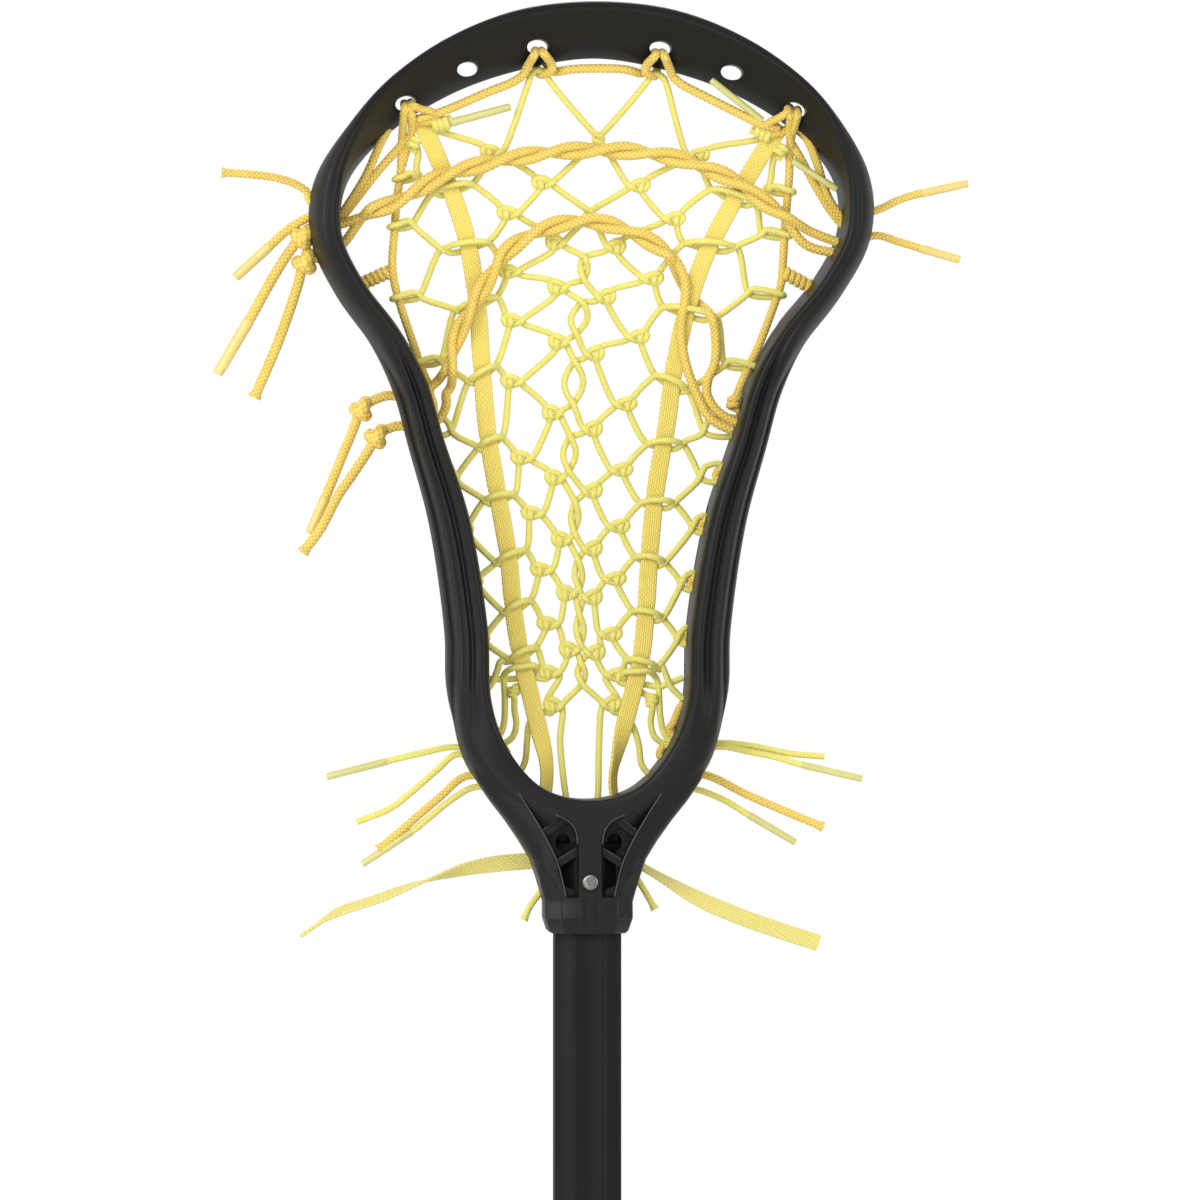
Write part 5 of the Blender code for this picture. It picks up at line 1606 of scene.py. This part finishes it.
# %% Loops at the sidewalls
LEFT_SIDE_STRING = (
    (-70.5, 299.6), (-70.9, 287.5), (-72.2, 278.0), (-73.0, 266.0), (-73.8, 254.0), (-73.2, 247.5),
    (-70.5, 237.4), (-66.2, 225.0), (-61.8, 212.4), (-59.5, 206.5),
)
RIGHT_SIDE_STRING = (
    (77.0, 299.0), (76.6, 286.0), (75.5, 270.0), (74.6, 252.0), (74.2, 246.5), (71.0, 236.5),
    (66.0, 223.0), (60.5, 211.0), (57.8, 204.5), (56.5, 201.5),
)
# Share of the way to the sidewall string or the wall, outwards, up, back
STRING_LOOP = (
    (0.0, -0.9, -1.0, -0.7), (0.0, 0.7, 0.8, -1.3), (0.49, 0.0, 0.7, -1.8),
    (1.0, -1.2, -0.3, -2.5), (1.0, 1.3, -1.0, -2.3), (1.0, 2.1, -1.4, 0.1),
    (1.0, 0.9, -1.5, 2.2), (1.0, -1.6, -1.9, 1.9), (0.0, 0.7, -1.1, 1.0), (0.0, -0.9, 0.9, 0.7),
)
WALL_LOOP = (
    (0.0, -0.7, -1.4, -0.5), (0.0, 0.9, 2.0, -0.9), (0.0, 2.2, 3.8, -0.5),
    (1.0, 1.2, 4.6, 0.0), (1.0, 2.2, 1.5, 0.3), (1.0, 1.0, -1.8, 0.3), (0.0, 1.6, -1.6, 0.4),
    (0.0, -0.2, 0.4, 0.7), (0.0, -1.0, 2.2, 0.6),
)


def route_x(route, height):
    """Sideways place of a falling route at a height."""
    for one, two in zip(route, route[1:]):
        if one[1] >= height >= two[1]:
            return one[0] + (two[0] - one[0]) * (one[1] - height) / (one[1] - two[1])
    return route[-1][0]


def side_loop(place, string, outer):
    """Two strands cross and run on together: round the sidewall string, or, lower down,
    to the wall and back."""
    x, z = place
    rest = net_depth(x, z)
    held = z > string[-1][1] + 4.0
    far = route_x(string, z) if held else rail_place(outer, z)[0].x
    return [Vector((x + (far - x) * share + outer * outwards, rest + back, z + up))
            for share, outwards, up, back in (STRING_LOOP if held else WALL_LOOP)]


# %% Rows of the weave
LAST_ROW = 9
LAST_WALL = {
    -1: ((-38.6, 90.3), (-35.2, 95.0), (-33.6, 99.0), (-32.0, 103.0)),
    1: ((37.4, 88.2), (32.8, 92.8), (30.2, 99.0), (28.6, 102.2)),
}
LAST_CROSS = {
    -1: ((-26.2, 96.1), (-35.0, 96.0), (-38.8, 96.8)),
    1: ((23.3, 93.8), (28.2, 93.0), (31.8, 94.2), (37.4, 96.5)),
}


def row_route(row, half, string, outer):
    """In over the runner, to the middle, and back behind the runner to the wall."""
    if row < LAST_ROW:
        loop = side_loop(half["side"][row], string, outer)
        middle = len(loop) // 2
        route = loop[middle:]
    else:
        route = strung(LAST_WALL[outer], 0.7)
    route += band(half["out"][row - 1], half["inn"][row - 1], FRONT_BAND)
    route += event(half["mid"][row], outer, FROM_ABOVE)
    if row == 1:
        route += event(half["top"], outer, FROM_BELOW)
        route += hook(TOP_CROSSING, outer)
    else:
        route += event(half["centre"][row - 2], outer, FROM_BELOW, CENTRE_KNOT)
        route += twist(row - 2, outer)
    route += event(half["centre"][row - 1], outer, FROM_ABOVE[::-1], CENTRE_KNOT)
    route += event(half["mid"][row], outer, FROM_BELOW[::-1])
    if row < LAST_ROW:
        route += band(half["inn"][row], half["out"][row], BACK_BAND)
        route += loop[:middle + 1]
    else:
        (x, z), *others = LAST_CROSS[outer]
        route += [on_net(x - outer * 8.0, z + 0.2), on_net(x, z, -1.0)]
        route += strung(others, -0.8)
    return route


def upper_route(half, string, outer):
    """The strand above row 1: to the corner, over the top string and to the side."""
    mid = half["mid"][0]
    (x1, z1), (x2, z2) = half["scoop"]
    route = [on_net(*half["corner"])] + event(mid, outer, FROM_ABOVE) + [on_net(x1, z1)]
    route += [on_net(x1 - outer * 0.9, z1 + 2.6, -0.5), on_net((x1 + x2) / 2, z1 + 4.6, 0.0),
              on_net(x2 + outer * 1.2, z2 + 1.6, 0.4), on_net(x2 - outer * 0.2, z2 - 0.8)]
    route += hook(TOP_MIDDLE, outer)
    route += event(half["top"], outer, FROM_ABOVE[::-1]) + event(mid, outer, FROM_BELOW[::-1])
    route += band(half["inn"][0], half["out"][0], BACK_BAND)
    route += side_loop(half["side"][0], string, outer)[::-1]
    return route + strung(half["rise"], 0.0)


# %% Below the last row
# Strands below the last knots: down from the second wrap, its other end, beside the lace.
FOOT = {
    -1: dict(
        drop=(
            (-35.5, 71.8), (-33.0, 74.1), (-31.5, 76.8), (-30.7, 80.5), (-30.5, 88.1),
            (-30.8, 94.2),
        ),
        wrap=((-31.1, 97.2), (-28.4, 99.9), (-19.6, 101.1)),
        knot=(-27.3, 91.4),
        rise=((-26.9, 84.3), (-26.2, 78.6), (-27.6, 74.1), (-31.1, 71.4), (-34.8, 70.0)),
        stop=((-6.9, 48.6), (-7.6, 52.5), (-9.5, 73.0)),
        beside=(
            (-16.5, 83.5), (-21.0, 79.4), (-22.0, 73.0), (-22.7, 65.4), (-23.9, 62.3),
            (-26.8, 58.8),
        ),
    ),
    1: dict(
        drop=((34.5, 70.8), (31.8, 72.8), (29.9, 76.0), (28.7, 81.7), (28.2, 91.2), (28.0, 94.2)),
        wrap=((26.9, 96.6), (24.0, 98.9), (15.4, 98.6)),
        knot=(25.6, 87.8),
        rise=((25.0, 79.5), (26.4, 74.1), (30.5, 71.1), (34.6, 70.6)),
        stop=((4.2, 48.0), (4.8, 52.6), (5.3, 70.7)),
        beside=(
            (14.5, 82.5), (18.4, 77.7), (20.5, 70.7), (21.5, 63.5), (24.2, 59.8), (26.2, 57.6),
        ),
    ),
}


def foot_routes(half, outer):
    """The strands below the last row, down to the ball stop and the sidewalls."""
    facts = FOOT[outer]
    stop = strung(facts["stop"], 0.0)
    stop += event(half["centre"][-1], outer, FROM_BELOW[::-1], CENTRE_KNOT)
    stop += strung(facts["beside"], -1.0)
    (x1, z1), (x2, z2), (x3, z3) = facts["wrap"]
    wrap = strung(facts["drop"], -0.6)
    wrap += [on_net(*spot) for spot in (
        (x1, z1, 0.5), (x2, z2, 4.0), ((x2 + x3) / 2, (z2 + z3) / 2 + 0.2, 5.0),
        (x3, z3, 4.0), (x3 - outer * 1.2, z3 - 1.6, 1.0), (x3 + outer, z3 - 3.6, -1.0))]
    x, z = facts["knot"]
    wrap.append(on_net(x - outer * 2.6, z + 2.2, -0.8))
    for step in range(17):
        angle = math.tau * step / 8
        wrap.append(on_net(x + 1.55 * math.sin(angle), z + 1.5 - 3.2 * step / 16,
                           1.5 * math.cos(angle)))
    wrap += strung(facts["rise"], 0.0)
    return [stop, wrap]


# %% Weave the net
def barrel(start, end, reach, turns, forward):
    """A cord wound in close turns round a short straight line."""
    one, two = Vector(start), Vector(end)
    along = (two - one).normalized()
    points = []
    for step in range(turns * 10 + 1):
        angle = math.tau * step / 10
        x, z = one.lerp(two, step / (turns * 10))
        points.append(on_net(x - along.y * reach * math.cos(angle),
                             z + along.x * reach * math.cos(angle),
                             forward + reach * math.sin(angle)))
    return points


LEMON_BARRELS = (
    ((-58.8, 305.4), (-52.6, 306.4), 1.75, 3, 4.0), ((-65.0, 300.4), (-67.4, 296.6), 1.5, 2, 2.0),
    ((68.4, 301.6), (62.8, 304.6), 1.7, 3, 4.0), ((74.6, 297.6), (71.6, 294.6), 1.7, 2, 2.0),
)
SIDES = ((-1, "left", LEFT_SIDE_STRING, LEFT), (1, "right", RIGHT_SIDE_STRING, RIGHT))
net_routes = [barrel(*facts) for facts in LEMON_BARRELS]
for outer, name, string, half in SIDES:
    net_routes += [row_route(row, half, string, outer) for row in range(1, LAST_ROW + 1)]
    net_routes.append(upper_route(half, string, outer))
    net_routes += foot_routes(half, outer)
net, lines = cord("cross_lace", net_routes)
settle(net, "lemon_string", "cross_lace_net")
print("cross-lace: %.2f m of string" % (sum(line_length(line) for line in lines) * MM))

# %% [markdown]
# ## Gold cords
#
# The thicker gold cords carry the net. Each shooting string is a pair of cords twisted
# on each other, so its route is wound round the pair's middle line by a formula.

# %% Routes of the shooting strings: sideways, height
UPPER_SHOOTING = (
    (-82.5, 272.8), (-72.5, 276.5), (-64.5, 281.0), (-57.0, 285.5), (-44.5, 289.5), (-26.0, 293.5),
    (-11.5, 295.5), (5.0, 296.0), (19.0, 295.5), (31.5, 293.5), (44.0, 289.5), (57.5, 283.5),
    (67.0, 276.5), (75.0, 271.0),
)
UPPER_ENDS = (
    ((-92.7, 268.4), (-96.0, 267.5)), ((-87.0, 268.5), (-91.5, 262.0), (-95.0, 258.5)),
    ((84.0, 266.0), (95.0, 261.7), (98.5, 260.5)), ((82.6, 261.0), (94.4, 257.5), (98.0, 256.5)),
)
LOWER_SHOOTING = (
    (-52.5, 212.5), (-49.5, 225.5), (-44.0, 236.5), (-37.0, 248.5), (-31.0, 257.5), (-21.0, 264.5),
    (-11.5, 268.0), (-1.5, 269.5), (6.0, 268.5), (16.0, 265.5), (25.5, 260.5), (30.5, 257.0),
)
LOWER_ENDS = (
    ((-56.1, 209.4), (-59.5, 205.6), (-58.1, 199.7), (-58.5, 196.5), (-61.5, 194.0)),
    (
        (-51.5, 206.7), (-53.2, 204.0), (-53.1, 200.4), (-54.6, 196.3), (-57.5, 193.4),
        (-60.5, 191.5),
    ),
    (
        (34.1, 253.8), (37.2, 246.4), (37.1, 238.9), (36.0, 233.0), (36.0, 225.3), (38.3, 214.0),
        (42.6, 203.0), (46.2, 196.1), (50.4, 192.7), (55.5, 190.5),
    ),
    (
        (33.0, 252.0), (37.5, 244.5), (42.6, 239.0), (47.0, 234.2), (48.9, 227.6), (48.9, 216.2),
        (46.2, 209.4), (46.0, 204.0), (49.3, 198.4), (55.3, 194.2), (59.5, 192.5),
    ),
)
SHOOTING_FRONT = 6.5
SHOOTING_REACH = 1.75
SHOOTING_PITCH = 38.0
SHOOTING_CORD = 3.6
# Near its end the lower pair's second cord passes behind the first, at two points
CROSSING_POINTS = (-10, -9)
CROSSING_BACK = 6.5


def wound(route, turned):
    """A route wound round another's line: one cord of a twisted pair."""
    points = smooth_route(route, 3.0)
    result = []
    for here, along, far in zip(points, directions(points), running_lengths(points)):
        across = crossways(along)[0]
        angle = turned + math.tau * far / SHOOTING_PITCH
        result.append(here + (across * math.cos(angle) + BACKWARDS * math.sin(angle))
                      * SHOOTING_REACH)
    return result


def shooting_pair(route, ends, turned):
    """Two cords on each other in the middle, each with its own way at both ends."""
    pair = []
    for number, forward in enumerate((5.0, 4.0)):
        middle = wound(strung(route, SHOOTING_FRONT), turned + math.pi * number)
        first = strung(ends[number], 2.5)[::-1]
        last = strung(ends[number + 2], forward)
        pair.append(first + middle + last)
    return pair


def gold_piece(name, routes, node_name, diameter):
    settle(cord(name, routes, diameter, gold=True)[0], "gold_string", node_name)


gold_piece("upper_shooting_pair", shooting_pair(UPPER_SHOOTING, UPPER_ENDS, 2.2),
           "shooting_string_upper", SHOOTING_CORD)
lower_pair = shooting_pair(LOWER_SHOOTING, LOWER_ENDS, 0.6)
for number in CROSSING_POINTS:
    lower_pair[1][number].y += CROSSING_BACK
gold_piece("lower_shooting_pair", lower_pair, "shooting_string_lower", SHOOTING_CORD)

# %% Top string: sideways, height, depth
TOP_START = (
    (-66.5, 307.4, -8.0), (-63.0, 308.0, -10.5), (-57.8, 309.6, -10.5), (-50.9, 312.3, -9.4),
    (-38.0, 318.0, -8.4), (-29.0, 321.6, -8.0),
)
TOP_END = (
    (35.0, 321.4, -8.0), (44.0, 316.6, -8.6), (52.3, 312.4, -9.4), (61.0, 308.0, -10.5),
    (66.0, 305.6, -11.0), (72.0, 304.6, -9.0),
)
TOP_BETWEEN = ((-5.0, 326.8, -8.0), (13.0, 326.8, -8.0))
# A hitch round the scoop's edge, as offsets from its hole
HITCH = (
    (-5.1, -10.3, -7.0), (-3.7, -7.4, -8.8), (-2.4, -5.0, -11.8), (-1.4, -3.2, -14.4),
    (-0.9, -1.9, -12.0), (-0.6, -1.6, -5.0), (-0.2, -4.0, 0.8), (0.4, -7.5, 1.2), (1.3, -9.8, -1.5),
    (3.4, -9.8, -6.4), (5.6, -8.4, -9.3), (5.2, -6.4, -10.4), (3.8, -4.6, -12.8),
    (2.3, -3.0, -14.9), (1.7, -1.9, -12.2), (1.9, -1.6, -5.0), (3.3, -4.4, 0.9), (4.9, -7.2, 0.9),
    (6.6, -9.0, -3.5),
)


def hitch(hole, mirror):
    """A hitch at a hole, as it is drawn for the left, or mirrored and run backwards."""
    route = [(hole[0] + mirror * x, hole[1] + z, depth) for x, z, depth in HITCH]
    return route[::mirror]


top_route = [*TOP_START, *hitch(SCOOP_HOLES[2], 1), *TOP_BETWEEN, *hitch(SCOOP_HOLES[3], -1),
             *TOP_END]
gold_piece("top_cord", [placed(top_route)], "top_string", 3.3)

# %% Corner ties: sideways, height
TIES = {
    "left": (
        ((-75.5, 304.5), (-78.6, 298.6), (-84.1, 286.3), (-90.6, 275.7), (-93.5, 271.5)),
        ((-67.5, 301.5), (-72.0, 296.6), (-80.0, 287.5), (-92.3, 271.6), (-96.0, 267.5)),
    ),
    "right": (
        ((76.5, 300.5), (79.0, 296.5), (83.4, 289.0), (88.8, 279.5), (93.5, 272.5), (98.5, 267.0)),
        ((80.5, 305.0), (84.2, 299.0), (87.6, 290.5), (89.4, 284.5), (92.0, 278.0), (97.5, 270.0)),
    ),
}

for side, routes in TIES.items():
    gold_piece("corner_tie_cords_" + side, [strung(route, 0.5) for route in routes],
               "corner_tie_" + side, 3.2)

# %% Sidewall strings, with their small loops out of the lower holes
SIDE_TOP = {
    -1: ((-69.9, 313.6, -9.0), (-70.0, 311.6, -14.0), (-70.2, 307.5, -11.5)),
    1: ((79.2, 311.8, -9.0), (78.9, 309.8, -14.5), (78.0, 305.5, -11.0)),
}
SECOND_STRAND = {
    -1: (
        (-67.6, 312.4, -10.0), (-67.2, 309.4, -12.5), (-66.9, 305.0, -8.5), (-67.4, 300.0, -4.5),
        (-69.0, 295.0, -2.5), (-70.3, 290.0, -1.5),
    ),
    1: (
        (76.2, 311.4, -10.0), (76.0, 308.6, -13.0), (76.2, 304.5, -9.5), (77.0, 299.5, -5.6),
        (76.6, 293.0, -2.0),
    ),
}
WALL_BITS = {
    -1: (
        ((-40.0, 86.5), (-37.6, 84.0), (-35.0, 78.0), (-33.0, 75.2), (-34.4, 73.0)),
        ((-33.5, 71.0), (-30.5, 69.4), (-29.8, 67.0), (-31.5, 65.0)),
    ),
    1: (
        ((38.6, 88.5), (36.2, 85.2), (33.6, 79.2), (32.0, 76.6), (34.0, 73.5)),
        ((32.5, 70.4), (29.6, 70.0), (28.4, 67.2), (30.2, 65.0)),
    ),
}
# A small loop out of a hole: outwards from the wall's edge, up
HOLE_LOOP = ((2.2, 3.4), (0.3, 2.0), (-0.5, 0.6), (0.3, -0.8), (2.2, -1.8))

for outer, name, string, half in SIDES:
    foot = string[-1][1] - 5.0
    main = placed(SIDE_TOP[outer]) + strung(string, 0.0)
    main.append(on_net(rail_place(outer, foot)[0].x + outer * 2.0, foot))
    routes = [main, placed(SECOND_STRAND[outer])]
    for x, z in half["side"][5:]:
        wall_x = rail_place(outer, z)[0].x
        routes.append([on_net(wall_x + outer * out, z + up, -1.2) for out, up in HOLE_LOOP])
    routes += [strung(route, -0.6) for route in WALL_BITS[outer]]
    gold_piece("sidewall_cords_" + name, routes, "sidewall_string_" + name, 3.1)

# %% Wrapped knots: routes, and the ends, reach and turns of each wrapping
CORNER_STRANDS = {
    "corner_knot_left": (
        (
            (-68.6, 313.4, -9.0), (-67.9, 311.8, -13.6), (-67.5, 308.8, -11.5),
            (-66.9, 303.4, -6.5), (-68.2, 299.6, -4.0), (-70.4, 296.4, -2.5),
        ),
        (
            (-67.6, 314.0, -9.0), (-66.6, 312.4, -14.4), (-63.7, 311.2, -13.2),
            (-60.2, 310.4, -12.6), (-58.2, 308.8, -10.0), (-60.2, 306.8, -9.4),
            (-64.2, 306.6, -8.6), (-66.8, 305.2, -6.0),
        ),
    ),
    "corner_knot_right": (
        (
            (76.4, 312.6, -9.0), (76.0, 309.4, -14.2), (76.0, 306.6, -11.5), (76.1, 302.4, -8.0),
            (77.4, 298.2, -5.0),
        ),
        (
            (75.4, 313.4, -9.0), (74.9, 310.6, -14.6), (72.0, 308.4, -13.4), (68.6, 306.8, -12.0),
            (66.2, 304.4, -10.0), (68.4, 302.4, -9.0), (72.4, 302.8, -8.0), (75.4, 304.6, -7.5),
        ),
    ),
}
KNOTS = {
    "side_knot_left": (((-84.8, 246.0), (-75.0, 250.4), 1.5, 5, 0.0),),
    "side_knot_right": (((75.8, 250.0), (86.0, 244.6), 1.5, 5, 0.0),
                        ((56.8, 203.0), (56.0, 198.6), 1.6, 2, 1.0)),
}

for name, routes in CORNER_STRANDS.items():
    gold_piece(name + "_wraps", [placed(route) for route in routes], name, 3.0)
for name, wrappings in KNOTS.items():
    gold_piece(name + "_wraps", [barrel(*facts) for facts in wrappings], name, 2.6)

# %% Short ends with aglets inside the scoop: both ends, width
INNER_AGLETS = {
    "inner_aglet_left": ((-55.0, 305.6, -7.0), (-29.5, 312.5, -8.6), 3.1),
    "inner_aglet_right": ((65.6, 307.4, -11.4), (46.0, 322.6, -13.6), 2.7),
    "inner_aglet_side": ((77.6, 292.4, -6.6), (94.6, 281.6, -6.2), 2.7),
}

for name, (*ends, wide) in INNER_AGLETS.items():
    tip = aglet_piece(name.replace("aglet", "tip"), *placed(ends), wide)
    settle(tip, "aglet_plastic", name)
